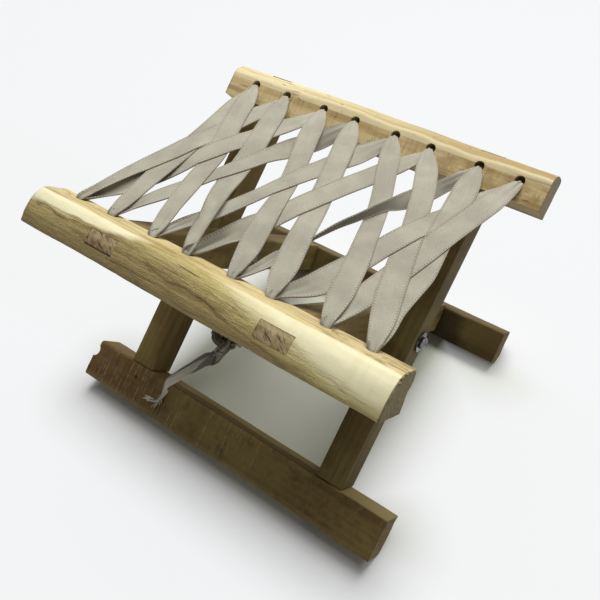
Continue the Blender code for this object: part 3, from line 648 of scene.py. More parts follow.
def smooth_copy(name, node, finish):
    """A node's own shape with its facets joined and shaded round."""
    bm = bmesh.new()
    bm.from_mesh(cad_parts[node].data)
    bmesh.ops.remove_doubles(bm, verts=bm.verts, dist=0.00001)
    mesh = bpy.data.meshes.new(name)
    bm.to_mesh(mesh)
    bm.free()
    mesh.materials.clear()
    mesh.materials.append(finish)
    shade_round(mesh, 35)
    return add_object(name, mesh)


def dress(obj, body, slot, *nodes):
    """A piece that rides on a body and stands for CAD nodes."""
    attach(obj, body)
    if nodes:
        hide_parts(*nodes)


def rough(x, w, s, scale, seed):
    """Even noise from -1 to 1 at a place in a frame."""
    return noise.noise(Vector((x * scale + seed, w * scale - seed, s * scale)))


class Rail:
    """A rail drawn finely: an outline of (w, s) points at each of many stations along x."""

    def __init__(self, side, left, right):
        self.side = side
        self.left = left
        self.right = right

    def build(self, name, outline, finish, ragged):
        """Loft the outlines; ragged(station, w, s) moves the rims of the two sawn ends along x."""
        rings = []
        for station in range(RAIL_STATIONS + 1):
            x = self.left + (self.right - self.left) * station / RAIL_STATIONS
            ring = [(x, w, s) for w, s in outline(x)]
            if station in (0, RAIL_STATIONS):
                middle = np.mean(ring, axis=0)
                sawn_end = (middle + 0.88 * (np.array(ring) - middle)).tolist()
                rim = [(x + ragged(station, w, s), w, s) for x, w, s in ring]
                rings += [sawn_end, rim] if station == 0 else [rim, sawn_end]
            else:
                rings.append(ring)
        count = len(rings[0])
        points = [self.side.place(*point) for ring in rings for point in ring]
        faces = []
        for index in range(len(rings) - 1):
            for step in range(count):
                after = (step + 1) % count
                a, b = index * count + step, index * count + after
                faces.append((a, b, b + count, a + count))
        faces.append(tuple(range(count))[::-1])
        faces.append(tuple((len(rings) - 1) * count + step for step in range(count)))
        obj = mesh_piece(name, points, faces, finish)
        face_outwards(obj)
        return obj

    def cut(self, obj, boxes, holes):
        """Cut boxes, each (x, w, s, size), and round holes along w, each (x, w, s, radius, length)."""
        bm = bmesh.new()
        turn = Matrix.Rotation(self.side.tilt, 4, "X")
        along_w = turn @ Matrix.Rotation(math.pi / 2, 4, "X")
        for x, w, s, size in boxes:
            place = Matrix.Translation(self.side.place(x, w, s)) @ turn
            bmesh.ops.create_cube(bm, size=1.0, matrix=place @ Matrix.Diagonal((*size, 1)))
        for x, w, s, radius, length in holes:
            place = Matrix.Translation(self.side.place(x, w, s)) @ along_w
            bmesh.ops.create_cone(bm, cap_ends=True, segments=28, radius1=radius, radius2=radius,
                                  depth=length, matrix=place)
        mesh = bpy.data.meshes.new("cutter")
        bm.to_mesh(mesh)
        bm.free()
        cutter = add_object("cutter", mesh)
        modifier = obj.modifiers.new("cuts", "BOOLEAN")
        modifier.operation = "DIFFERENCE"
        modifier.object = cutter
        settle(obj)
        bpy.data.objects.remove(cutter)
        shade_round(obj.data, 38)


def top_rail_outline(shoulder, flat, crown, round_depth, edge, phase, roughness, seed, crispness=1.0):
    """The outline of a top rail at x: sawn strip, rounded side, flat underside, with a natural wane."""
    depth = RAIL_RISE - RAIL_UNDERSIDE
    middle_w = RAIL_UNDERSIDE + 0.4 * depth
    low = min(edge, depth - round_depth)
    first_edge_step = 0 if round_depth + low < depth else 1
    nick_depth = 0.0016

    def outline(x):
        wave = x / WANE_LENGTH
        wander = math.sin(wave + phase) + 0.6 * math.sin(2.3 * wave + 2 * phase)
        wander += 0.9 * noise.noise(Vector((x * 55, seed, 0)))
        wander += 0.5 * noise.noise(Vector((x * 150, seed, 4)))
        flat_end = shoulder + flat + WANE * wander
        outside = shoulder + flat + crown + 0.5 * WANE * math.sin(0.7 * wave + phase)
        ring = [(RAIL_UNDERSIDE + depth * step / 8, shoulder) for step in range(8)]
        ring += [(RAIL_RISE, shoulder + (flat_end - shoulder) * step / 6) for step in range(6)]
        arc = []
        for step in range(21):
            turn = 0.5 * math.pi * step / 20
            rise = max(0.0, math.cos(turn)) ** crispness
            reach = math.sin(turn) ** crispness
            arc.append((RAIL_RISE - round_depth * (1 - rise), flat_end + (outside - flat_end) * reach))
        for step in range(first_edge_step, 6):
            turn = math.pi * step / 10
            arc.append((RAIL_UNDERSIDE + low * (1 - math.sin(turn)),
                        outside - edge * (1 - math.cos(turn))))
        for step, (w, s) in enumerate(arc):
            swell = roughness * (rough(x, w, s, 28, seed) + 0.5 * rough(3 * x, 8 * w, 8 * s, 30, seed))
            nick = max(0.0, rough(x, 0, 0, 170, seed + 9) - 0.32) if step > len(arc) - 5 else 0.0
            away = Vector((w - middle_w, s - shoulder)).normalized()
            fade = min(1.0, step / 3)
            ring.append((w + fade * away.x * swell + nick_depth * nick,
                         s + fade * away.y * swell - nick_depth * nick))
        last_s = ring[-1][1]
        ring += [(RAIL_UNDERSIDE, last_s + (shoulder - last_s) * step / 5) for step in range(1, 5)]
        return ring

    return outline


def bottom_rail_outline(shoulder, height, depth, offset, edge, roughness, seed):
    """The outline of a bottom rail at x: a batten with worn edges, level where it stands."""
    # Each corner's way towards the seat and up the legs, and the angle at which its round starts
    corners = ((1, 1, 90), (1, -1, 0), (-1, -1, 270), (-1, 1, 180))

    def corner_point(corner, step, worn):
        side_w, side_s, start = corners[corner % 4]
        angle = math.radians(start - 22.5 * step)
        centre_w = offset + side_w * (0.5 * depth - worn)
        centre_s = -shoulder - 0.5 * height + side_s * (0.5 * height - worn)
        return centre_w + worn * math.cos(angle), centre_s + worn * math.sin(angle)

    def outline(x):
        wander = math.sin(x / WANE_LENGTH + height)
        worn = edge * (1.0 + 0.35 * wander + 0.35 * rough(x, 0, 0, 90, seed))
        ring = []
        for corner in range(4):
            ring += [corner_point(corner, step, worn) for step in range(5)]
            here_w, here_s = ring[-1]
            next_w, next_s = corner_point(corner + 1, 0, worn)
            for step in range(1, 6):
                share = step / 6
                ring.append((here_w + share * (next_w - here_w), here_s + share * (next_s - here_s)))
        moved = []
        for w, s in ring:
            swell = roughness * (rough(x, w, s, 30, seed) + 0.4 * rough(x, w, s, 120, seed))
            w, s = w + swell, s + 0.6 * swell
            sunk = -PIVOT.z - s * math.sin(LEG_SLOPE) - w * math.cos(LEG_SLOPE)
            if sunk > 0:
                s, w = s + sunk * math.sin(LEG_SLOPE), w + sunk * math.cos(LEG_SLOPE)
            moved.append((w, s))
        return moved

    return outline


def ragged_rim(depth, scale, seed):
    """A sawn end's slightly rough rim."""
    return lambda station, w, s: depth * rough(station, w, s, scale, seed)


def torn_rim(station, w, s):
    """The front top rail's rims: torn along the top of the right end."""
    if station == 0:
        return 0.0006 * rough(0, w, s, 130, 2.0)
    upper = max(0.0, min(1.0, (w + 0.006) / 0.010))
    return upper * (0.0036 * rough(0, w, s, 620, 5.0) - 0.0004) + 0.0006 * rough(0, w, s, 90, 7.0)


def lacing_holes(row):
    """Holes through a top rail, to be cut."""
    return [(x, 0, HOLE_LINE, HOLE_RADIUS, HOLE_LENGTH) for x in row]


def mortises(leg_middle, tenon_width, s, length):
    """Boxes to be cut for the tenons of a frame's two legs."""
    size = (tenon_width + 2 * FIT_GAP, TENON_DEPTH + 2 * FIT_GAP, length)
    return [(sign * leg_middle, 0, s, size) for sign in (-1, 1)]


def make_top_rails(pale, golden):
    """Both top rails, with their lacing holes and mortises."""
    front = Rail(INNER, -0.1605, 0.1650)
    outline = top_rail_outline(shoulder=0.142, flat=0.0185, crown=0.0185, round_depth=0.029, edge=0.003,
                               phase=0.4, roughness=0.0004, seed=3.1)
    obj = front.build("pale_front_rail", outline, pale, torn_rim)
    front.cut(obj, mortises(INNER_LEG_MIDDLE, INNER_TENON_WIDTH, 0.179, 0.12), lacing_holes(FRONT_HOLES))
    dress(obj, INNER.body, "pale_wood", "front_top_rail")

    back = Rail(OUTER, -0.1545, 0.1645)
    outline = top_rail_outline(shoulder=0.133, flat=0.022, crown=0.013, round_depth=0.020, edge=0.005,
                               phase=2.1, roughness=0.0003, seed=8.4, crispness=1.12)
    obj = back.build("golden_back_rail", outline, golden, ragged_rim(0.0004, 120, 1.5))
    back.cut(obj, mortises(OUTER_LEG_MIDDLE, OUTER_TENON_WIDTH, 0.168, 0.12), lacing_holes(BACK_HOLES))
    dress(obj, OUTER.body, "golden_wood", "back_top_rail")


# Torn slivers on the sawn strip of the front rail: x, s, length along x, lift of the tip, width
SPLINTERS = (
    (-0.1415, 0.1530, -0.0060, 0.0022, 0.0016), (-0.1395, 0.1555, -0.0080, 0.0008, 0.0012),
    (-0.1045, 0.1545, -0.0070, 0.0010, 0.0012), (0.0245, 0.1550, 0.0070, 0.0009, 0.0012),
    (0.1045, 0.1530, 0.0065, 0.0060, 0.0026), (0.1062, 0.1552, 0.0080, 0.0020, 0.0013),
    (0.1260, 0.1560, -0.0100, 0.0011, 0.0013), (0.1405, 0.1535, 0.0085, 0.0016, 0.0014),
    (0.1430, 0.1562, 0.0110, 0.0010, 0.0012), (0.1520, 0.1540, 0.0100, 0.0012, 0.0013),
)


def make_splinters(pale):
    """Curled slivers that the drill and the saw tore up."""
    thickness = 0.0004
    steps = 7
    points, faces = [], []
    for x, s, length, lift, width in SPLINTERS:
        first = len(points)
        for step in range(steps + 1):
            share = step / steps
            half = 0.5 * width * (1 - 0.85 * share)
            rise = RAIL_RISE - 0.0003 + lift * share ** 1.6
            below = rise - thickness * (1 - 0.7 * share)
            bow = 0.0012 * math.sin(2.4 * share + 40 * x) * share
            for w, side in ((rise, -half), (rise, half), (below, half), (below, -half)):
                points.append(INNER.place(x + length * share, w, s + side + bow))
        for step in range(steps):
            for corner in range(4):
                a = first + 4 * step + corner
                b = first + 4 * step + (corner + 1) % 4
                faces.append((a, b, b + 4, a + 4))
        faces.append(tuple(first + corner for corner in range(4)))
        faces.append(tuple(first + 4 * steps + corner for corner in range(4)))
    obj = mesh_piece("torn_splinters", points, faces, pale)
    face_outwards(obj)
    dress(obj, INNER.body, "pale_wood")


def make_bottom_rails(front_finish, back_finish):
    """Both bottom rails, with their mortises, brad holes and the broken corner."""
    front = Rail(OUTER, -0.1665, 0.1665)
    outline = bottom_rail_outline(shoulder=0.139, height=0.038, depth=0.030, offset=0.0, edge=0.0022,
                                  roughness=0.0004, seed=5.2)
    obj = front.build("rough_front_foot", outline, front_finish, ragged_rim(0.0005, 140, 3))
    boxes = mortises(OUTER_LEG_MIDDLE, OUTER_TENON_WIDTH, -0.177, 0.114)
    notch = (-0.1665, 0, -0.139, (0.006, 0.06, 0.020))
    brad = (-OUTER_LEG_MIDDLE, 0.015, -0.152, 0.0018, 0.003)
    bite = (-0.1680, 0, -0.1500, 0.0068, 0.08)
    front.cut(obj, boxes + [notch], [brad])
    front.cut(obj, [], [bite])
    dress(obj, OUTER.body, "brown_wood", "front_bottom_rail")

    back = Rail(INNER, -0.159, 0.159)
    outline = bottom_rail_outline(shoulder=0.145, height=0.029, depth=0.032, offset=-0.0034, edge=0.0022,
                                  roughness=0.0004, seed=7.7)
    obj = back.build("rough_back_foot", outline, back_finish, ragged_rim(0.0005, 140, 6))
    brads = [(sign * INNER_LEG_MIDDLE, 0.0126, -0.158, 0.0020, 0.003) for sign in (-1, 1)]
    back.cut(obj, mortises(INNER_LEG_MIDDLE, INNER_TENON_WIDTH, -0.174, 0.087), brads)
    dress(obj, INNER.body, "brown_wood", "back_bottom_rail")


# How a strand lies at a share along it: the share of its width, its roll in degrees, its hollow in
# metres, its shift to the right in half widths and its drop in metres
Lie = namedtuple("Lie", "along width roll hollow shift drop", defaults=(0, 0, 0, 0))

# Strands that don't lie flat, by front and back hole. Each is flat at both holes unless it says otherwise
TWISTS = {
    (5, 7): (Lie(0, 1, shift=0.3), Lie(0.05, 0.62, shift=0.6, drop=0.001),
             Lie(0.1, 0.58, roll=-8, shift=0.4), Lie(0.15, 0.52, roll=-26, shift=0.1, drop=-0.001),
             Lie(0.22, 0.32, roll=-60, shift=-0.1, drop=-0.001),
             Lie(0.28, 0.14, roll=-84, shift=-0.15, drop=-0.004),
             Lie(0.4, 0.3, roll=-86, shift=-0.25, drop=-0.005),
             Lie(0.5, 0.38, roll=-80, shift=-0.2, drop=-0.002), Lie(0.6, 0.5, roll=-66, shift=-0.1),
             Lie(0.68, 0.7, roll=-46), Lie(0.77, 0.72, roll=-42), Lie(0.87, 0.62, roll=-56),
             Lie(1, 0.9, roll=-30)),
    (4, 6): (Lie(0, 1, roll=-30, hollow=0.001), Lie(0.11, 0.66, roll=-48, hollow=0.002),
             Lie(0.24, 0.92, roll=-20, hollow=0.001), Lie(0.34, 1)),
    (2, 4): (Lie(0.05, 0.65, shift=-0.35), Lie(0.1, 0.66, shift=-0.38), Lie(0.2, 0.76, shift=-0.3),
             Lie(0.3, 0.68, shift=-0.3), Lie(0.36, 0.64, shift=-0.25), Lie(0.42, 0.72, shift=-0.1),
             Lie(0.5, 0.83), Lie(0.62, 0.9), Lie(0.76, 0.85, roll=-48), Lie(0.9, 0.9, roll=-44),
             Lie(1, 1, roll=-26)),
    (1, 2): (Lie(0.05, 0.6, shift=-0.15), Lie(0.14, 0.59, shift=-0.26), Lie(0.2, 0.64, shift=-0.33),
             Lie(0.25, 0.75, shift=-0.22), Lie(0.32, 0.86, shift=-0.14), Lie(0.4, 0.95, shift=-0.05),
             Lie(0.52, 1.05, shift=-0.05), Lie(0.7, 1)),
    (2, 1): (Lie(0.06, 0.85, shift=-0.1), Lie(0.11, 0.74, shift=-0.14), Lie(0.16, 0.75, shift=-0.16),
             Lie(0.22, 0.85, shift=-0.2), Lie(0.32, 0.94, shift=-0.15), Lie(0.45, 1, shift=-0.05)),
    (3, 1): (Lie(0.05, 0.8), Lie(0.1, 0.72, shift=-0.05), Lie(0.15, 0.7, shift=-0.05),
             Lie(0.2, 0.78, shift=0.08), Lie(0.3, 0.87, shift=0.27), Lie(0.4, 0.89, shift=0.5),
             Lie(0.5, 0.93, shift=0.56), Lie(0.62, 0.95, shift=0.4), Lie(0.8, 1, shift=0.15)),
    (1, 3): (Lie(0, 1, hollow=0.001), Lie(0.1, 0.9, roll=-22, hollow=0.004),
             Lie(0.24, 1, roll=-20, hollow=0.0028), Lie(0.42, 1)),
    (4, 2): (Lie(0.04, 0.74, hollow=0.001, shift=-0.25), Lie(0.11, 0.58, hollow=0.003, shift=-0.42),
             Lie(0.19, 0.6, hollow=0.004, shift=-0.3),
             Lie(0.26, 0.8, roll=4, hollow=0.004, shift=-0.35),
             Lie(0.33, 0.92, roll=4, hollow=0.002, shift=-0.42), Lie(0.42, 0.97, shift=-0.3),
             Lie(0.6, 1)),
    (6, 8): (Lie(0, 1, shift=0.2), Lie(0.05, 1.05, roll=-6, hollow=0.001, shift=0.55, drop=0.0005),
             Lie(0.11, 1.06, roll=-14, hollow=0.001, shift=0.75, drop=0.0015),
             Lie(0.19, 1.06, roll=-12, shift=0.6, drop=0.0012),
             Lie(0.26, 1.02, roll=-5, shift=0.45, drop=0.001), Lie(0.33, 1, shift=0.35, drop=0.0005),
             Lie(0.4, 0.96, shift=0.3), Lie(0.56, 0.92)),
    (8, 7): (Lie(0.15, 0.85, shift=-0.25), Lie(0.35, 1, shift=0.3), Lie(0.6, 1, shift=0.1)),
    (5, 3): (Lie(0.09, 0.86, shift=0.13), Lie(0.2, 0.95, shift=0.1), Lie(0.33, 0.86, shift=0.25),
             Lie(0.45, 0.78, shift=0.48), Lie(0.57, 0.84, shift=0.42), Lie(0.75, 0.95, shift=0.2)),
    (6, 4): (Lie(0.3, 0.95, shift=0.15), Lie(0.6, 0.95, shift=0.22), Lie(0.85, 0.96, shift=0.18)),
    (7, 5): (Lie(0.06, 0.9, shift=0.15), Lie(0.13, 0.92, shift=0.25), Lie(0.25, 0.92, shift=0.55),
             Lie(0.42, 0.84, shift=0.78), Lie(0.53, 0.79, shift=0.92), Lie(0.65, 0.84, shift=0.78),
             Lie(0.76, 0.86, shift=0.5), Lie(0.89, 0.9, shift=0.25)),
    (8, 6): (Lie(0.08, 0.88, shift=0.12), Lie(0.22, 0.98, shift=0.08), Lie(0.41, 0.96, shift=0.28),
             Lie(0.52, 0.94, shift=0.5), Lie(0.62, 0.89, shift=0.52), Lie(0.735, 0.93, shift=0.55),
             Lie(0.85, 0.92, shift=0.35)),
    (3, 5): (Lie(0.05, 0.66, roll=-10, shift=-0.05), Lie(0.1, 0.57, roll=-20, hollow=0.001),
             Lie(0.15, 0.58, roll=-16, hollow=0.001, shift=0.2), Lie(0.2, 0.6, roll=-10, shift=0.26),
             Lie(0.3, 0.64, roll=-4, shift=0.28), Lie(0.4, 0.65, shift=0.28),
             Lie(0.48, 0.72, shift=0.2), Lie(0.6, 0.92, shift=0.05), Lie(0.7, 1),
             Lie(0.85, 0.9, roll=-22), Lie(1, 1, roll=-14)),
}


def ease(share):
    """A smooth rise from 0 to 1."""
    share = np.clip(share, 0, 1)
    return share * share * (3 - 2 * share)


class Strand:
    """One run of tape across the seat, from a front hole to a back hole."""
    STEPS = 132
    ACROSS = 13
    EASED_STEPS = 9
    # Where the tape leaves a front and a back hole: its rise above the rail, its place up the legs from
    # the hole's middle, and how far each of the two levels in a hole is from there
    FRONT_MOUTH = (0.0016, -0.0012, 0.0011)
    BACK_MOUTH = (0.0012, -0.0036, 0.0010)
    # The length over which the tape opens out, at the front and at the back
    STEEP_OPENING = (0.031, 0.034)
    SHALLOW_OPENING = (0.048, 0.044)

    def __init__(self, front, back):
        self.front = front
        self.back = back
        leap = back - front
        self.steep = leap < 0
        self.short = abs(leap) == 1
        self.standing = {-2: 3, -1: 2, 1: 1, 2: 0}[leap]
        rows = TWISTS.get((front, back), ())
        first = () if rows and rows[0].along == 0 else (Lie(0, 1),)
        last = () if rows and rows[-1].along == 1 else (Lie(1, 1),)
        self.lies = first + rows + last

    def lay(self, front_level, back_level):
        """Fix the two ends, each at the inner or outer level in its hole."""
        rise, aside, apart = self.FRONT_MOUTH
        front_hole = FRONT_HOLES[self.front - 1]
        self.start = INNER.place(front_hole, RAIL_RISE + rise, HOLE_LINE + aside + apart * front_level)
        rise, aside, apart = self.BACK_MOUTH
        back_hole = BACK_HOLES[self.back - 1]
        self.end = OUTER.place(back_hole, RAIL_RISE + rise, HOLE_LINE + aside + apart * back_level)
        self.run = self.end - self.start
        self.length = self.run.length
        flat = Vector((self.run.x, self.run.y, 0))
        self.ahead = flat.normalized()
        self.across = Vector((self.ahead.y, -self.ahead.x, 0))
        self.reach = flat.length
        self.t = np.linspace(0, 1, self.STEPS)
        self.v = np.linspace(-1, 1, self.ACROSS)
        front_opening, back_opening = self.STEEP_OPENING if self.steep else self.SHALLOW_OPENING
        self.near_front = np.minimum(1, self.t * self.reach / front_opening)
        self.near_back = np.minimum(1, (1 - self.t) * self.reach / back_opening)
        spread = np.sin(0.5 * math.pi * np.minimum(self.near_front, self.near_back))
        open_half = GATHERED_HALF + (0.5 * TAPE_WIDTH - GATHERED_HALF) * spread
        self.half = open_half * self.eased("width")
        self.roll = np.radians(self.eased("roll"))
        self.cover = self.half * np.cos(self.roll)
        self.aside = self.eased("shift")
        self.heights = np.zeros((self.STEPS, self.ACROSS))
        self.form = self.section()

    def eased(self, name):
        """One value of how the strand lies, all along it and eased between its places."""
        values = [getattr(lie, name) for lie in self.lies]
        line = np.interp(self.t, [lie.along for lie in self.lies], values)
        window = np.ones(self.EASED_STEPS) / self.EASED_STEPS
        return np.convolve(np.pad(line, self.EASED_STEPS // 2, mode="edge"), window, mode="valid")

    def section(self):
        """How far each point of the grid stands above the strand's line: hollow, arched or rolled."""
        v = self.v[None, :]
        crease = np.abs(v) if self.short else v * v
        hollow = 0.0030 * (1 - self.near_front) ** 1.5 + self.eased("hollow")
        arch = 0.0020 * (1 - self.near_back) ** 1.3
        sine = np.sin(self.roll)
        rolled = self.half[:, None] * v * sine[:, None]
        gathered = (1 - self.near_front) + (1 - self.near_back)
        pleats = 0.0005 * gathered[:, None] * np.cos(2.6 * math.pi * v + self.front)
        drop = self.eased("drop")
        return (hollow - arch)[:, None] * (crease - 0.4) + rolled + pleats - drop[:, None]

    def plan(self):
        """Plan places of the grid, as x and y arrays."""
        centre_x = self.start.x + self.t * self.run.x
        centre_y = self.start.y + self.t * self.run.y
        side = self.cover[:, None] * (self.v[None, :] + self.aside[:, None])
        return centre_x[:, None] + side * self.across.x, centre_y[:, None] + side * self.across.y

    def find(self, x, y):
        """Where plan places lie on this strand: share along it and place across it."""
        from_x = x - self.start.x
        from_y = y - self.start.y
        t = (from_x * self.ahead.x + from_y * self.ahead.y) / self.reach
        cover = np.interp(t, self.t, self.cover)
        v = (from_x * self.across.x + from_y * self.across.y) / cover - np.interp(t, self.t, self.aside)
        return t, v

    def level(self):
        """The height of the whole grid."""
        base = self.start.z + self.t * self.run.z
        return base[:, None] + self.heights + self.form


class Touch:
    """Where one strand passes over another."""

    def __init__(self, over, under):
        self.over = over
        self.under = under
        x, y = over.plan()
        t, v = under.find(x, y)
        self.rows, self.columns = np.nonzero((t > 0.02) & (t < 0.98) & (np.abs(v) <= 1.0))
        t = t[self.rows, self.columns] * (Strand.STEPS - 1)
        v = (v[self.rows, self.columns] + 1) * 0.5 * (Strand.ACROSS - 1)
        self.low_t = np.minimum(t.astype(int), Strand.STEPS - 2)
        self.low_v = np.minimum(v.astype(int), Strand.ACROSS - 2)
        self.share_t = t - self.low_t
        self.share_v = v - self.low_v

    def corners(self):
        """The four grid points round each touching place, and their shares of it."""
        for step_t, share_t in ((0, 1 - self.share_t), (1, self.share_t)):
            for step_v, share_v in ((0, 1 - self.share_v), (1, self.share_v)):
                yield self.low_t + step_t, self.low_v + step_v, share_t * share_v

    def push(self):
        """Part the two strands to a tape's thickness."""
        top = self.over.level()[self.rows, self.columns]
        low = np.zeros(len(self.rows))
        under_level = self.under.level()
        for rows, columns, share in self.corners():
            low += share * under_level[rows, columns]
        lacking = np.maximum(0, TAPE_THICKNESS + TAPE_GAP - (top - low)) * 0.5
        self.over.heights[self.rows, self.columns] += lacking
        for rows, columns, share in self.corners():
            np.subtract.at(self.under.heights, (rows, columns), share * lacking)


def crossing(first, second):
    """The touch of two strands that cross or share a hole, or nothing."""
    gap_front = FRONT_HOLES[second.front - 1] - FRONT_HOLES[first.front - 1]
    gap_back = BACK_HOLES[second.back - 1] - BACK_HOLES[first.back - 1]
    if gap_front * gap_back < 0:
        meeting = gap_front / (gap_front - gap_back)
        steep, shallow = (first, second) if first.steep else (second, first)
        in_middle_row = abs(meeting - 0.5) < 0.08
        return Touch(shallow, steep) if in_middle_row else Touch(steep, shallow)
    if gap_front == 0 or gap_back == 0:
        over, under = (first, second) if first.standing > second.standing else (second, first)
        return Touch(over, under)
    return None


def weave():
    """All the strands, pulled taut over and under each other."""
    rounds = 260
    strands = []
    for first, second in zip(LACE_ROUTE[::2], LACE_ROUTE[1::2]):
        front, back = (first, second) if first[0] == "f" else (second, first)
        strands.append(Strand(int(front[1]), int(back[1])))
    for strand in strands:
        top_at_front = max(other.standing for other in strands if other.front == strand.front)
        top_at_back = max(other.standing for other in strands if other.back == strand.back)
        strand.lay(1 if strand.standing == top_at_front else -1,
                   1 if strand.standing == top_at_back else -1)
    touches = []
    for index, first in enumerate(strands):
        for second in strands[index + 1:]:
            touch = crossing(first, second)
            if touch:
                touches.append(touch)
    for _ in range(rounds):
        for strand in strands:
            heights = strand.heights
            heights[1:-1] += 0.5 * (0.5 * (heights[:-2] + heights[2:]) - heights[1:-1])
            middle = heights.mean(axis=1, keepdims=True)
            heights[:, 1:-1] += 0.4 * (0.5 * (heights[:, :-2] + heights[:, 2:]) - heights[:, 1:-1])
            heights += 0.03 * (middle - heights)
            heights[0] = 0
            heights[-1] = 0
        for touch in touches:
            touch.push()
    return strands


def strand_grid(strand):
    """Surface points of a strand, from inside its front hole to inside its back hole."""
    x, y = strand.plan()
    z = strand.level()
    rows = []
    for row, t in enumerate(strand.t):
        points = [Vector(place) for place in zip(x[row], y[row], z[row])]
        rows.append((points, strand.length * float(t)))
    front_tuck = tucked(strand, rows[0][0], INNER, -1)
    back_tuck = tucked(strand, rows[-1][0], OUTER, 1)
    return front_tuck[::-1] + rows + back_tuck


def tucked(strand, mouth, side, end):
    """The tape going down into a hole from its mouth, at the strand's front end (-1) or back end (1)."""
    stride = 0.0014
    rows = []
    middle = sum(mouth, Vector()) / len(mouth)
    leaving = strand.ahead * end
    inwards = -side.towards_seat
    place = middle.copy()
    for step in range(1, TUCK_STEPS + 1):
        turn = min(1.0, step / 4)
        heading = leaving.lerp(inwards, turn).normalized()
        place = place + heading * stride
        squeeze = 1.0 - 0.28 * min(1.0, step / 3)
        level = strand.across.lerp(Vector((1, 0, 0)), turn).normalized()
        rise = (1 - turn) * Vector((0, 0, 1)) + turn * side.up_legs
        points = []
        for point in mouth:
            offset = point - middle
            points.append(place + level * (offset.dot(strand.across) * squeeze) + offset.z * rise)
        rows.append((points, (0 if end < 0 else strand.length) + end * stride * step))
    return rows


def skin(grid, thickness, points, faces, uvs, v_places):
    """Give a grid of surface points a thickness, and add it to a growing mesh.

    Each point's place on the tape is kept with it, and how far the tape is turned from lying flat there.
    """
    rows = len(grid)
    count = len(grid[0][0])
    places = np.array([[tuple(point) for point in row] for row, _ in grid])
    along = np.gradient(places, axis=0)
    across = np.gradient(places, axis=1)
    normal = np.cross(across, along)
    normal /= np.maximum(np.linalg.norm(normal, axis=2, keepdims=True), 1e-12)
    turned = 1 - np.abs(normal[:, :, 2])
    first = len(points)
    for level in (0.5, -0.5):
        layer = places + normal * (thickness * level)
        for row in range(rows):
            for column in range(count):
                points.append(layer[row, column])
                uvs.append(((v_places[column] + 1) * 0.5, grid[row][1], float(turned[row, column])))
    under = first + rows * count
    for row in range(rows - 1):
        for column in range(count - 1):
            a = first + row * count + column
            faces.append((a, a + 1, a + count + 1, a + count))
            b = under + row * count + column
            faces.append((b, b + count, b + count + 1, b + 1))
        for column in (0, count - 1):
            a = first + row * count + column
            b = under + row * count + column
            side = (a, a + count, b + count, b)
            faces.append(side if column == 0 else side[::-1])
    for row in (0, rows - 1):
        for column in range(count - 1):
            a = first + row * count + column
            b = under + row * count + column
            cap = (a, b, b + 1, a + 1)
            faces.append(cap if row == 0 else cap[::-1])


def smooth_route(points, steps):
    """Points on a smooth curve through a route's own points."""
    route = [Vector(point) for point in points]
    before = [2 * route[0] - route[1]] + route
    after = route + [2 * route[-1] - route[-2]]
    curve = []
    for index in range(len(route) - 1):
        start, end = route[index], route[index + 1]
        start_slope = 0.5 * (end - before[index])
        end_slope = 0.5 * (after[index + 2] - start)
        for step in range(steps):
            t = step / steps
            curve.append((2 * t ** 3 - 3 * t ** 2 + 1) * start + (t ** 3 - 2 * t ** 2 + t) * start_slope
                         + (3 * t ** 2 - 2 * t ** 3) * end + (t ** 3 - t ** 2) * end_slope)
    return curve + [route[-1]]


def swept_grid(route, facing, section):
    """Sweep a section of (across, up) points along a route, turned to the way it faces at each share."""
    rows = []
    travelled = 0.0
    last = len(route) - 1
    for index, middle in enumerate(route):
        ahead = (route[min(index + 1, last)] - route[max(index - 1, 0)]).normalized()
        share = index / last
        across = ahead.cross(facing(share)).normalized()
        up = across.cross(ahead)
        if index:
            travelled += (middle - route[index - 1]).length
        rows.append(([middle + across * a + up * b for a, b in section(share)], travelled))
    return rows


def pleated(half, depth):
    """A gathered tape's section: it runs to and fro in shallow pleats."""
    return [(half * v, depth * math.cos(2.0 * math.pi * v)) for v in GATHERED_PLACES]


def under_runs():
    """The tape's gathered runs along the undersides of the rails, between one strand and the next."""
    grids = []
    for turn, (here, there) in enumerate(zip(LACE_ROUTE[1:-1:2], LACE_ROUTE[2:-1:2])):
        side, holes = (INNER, FRONT_HOLES) if here[0] == "f" else (OUTER, BACK_HOLES)
        start, end = holes[int(here[1]) - 1], holes[int(there[1]) - 1]
        towards = 1 if end > start else -1
        level = HOLE_LINE - 0.0014 + 0.0024 * (turn % 2) - 0.0012
        drop = 0.0013 + 0.0019 * ((turn // 2) % 2)
        # From inside a hole to the open run: along the rail, and the height w
        leaving = ((0.0, -0.004), (0.0, RAIL_UNDERSIDE + 0.002), (0.0012, RAIL_UNDERSIDE - 0.0008),
                   (0.0045, RAIL_UNDERSIDE - drop))
        places = [(start + towards * along, w) for along, w in leaving]
        places.append((0.5 * (start + end), RAIL_UNDERSIDE - drop))
        places += [(end - towards * along, w) for along, w in reversed(leaving)]
        route = smooth_route([side.place(x, w, level) for x, w in places], 5)

        def facing(share, side=side, towards=towards):
            bend = 0.5 * math.pi * float(ease((share - 0.15) / 0.22) + ease((share - 0.63) / 0.22))
            return Vector((-towards * math.cos(bend), 0, 0)) - math.sin(bend) * side.towards_seat

        def section(share):
            open_out = math.sin(math.pi * share)
            return pleated(0.0030 + 0.0026 * open_out, 0.0008 - 0.0005 * open_out)

        grids.append(swept_grid(route, facing, section))
    return grids


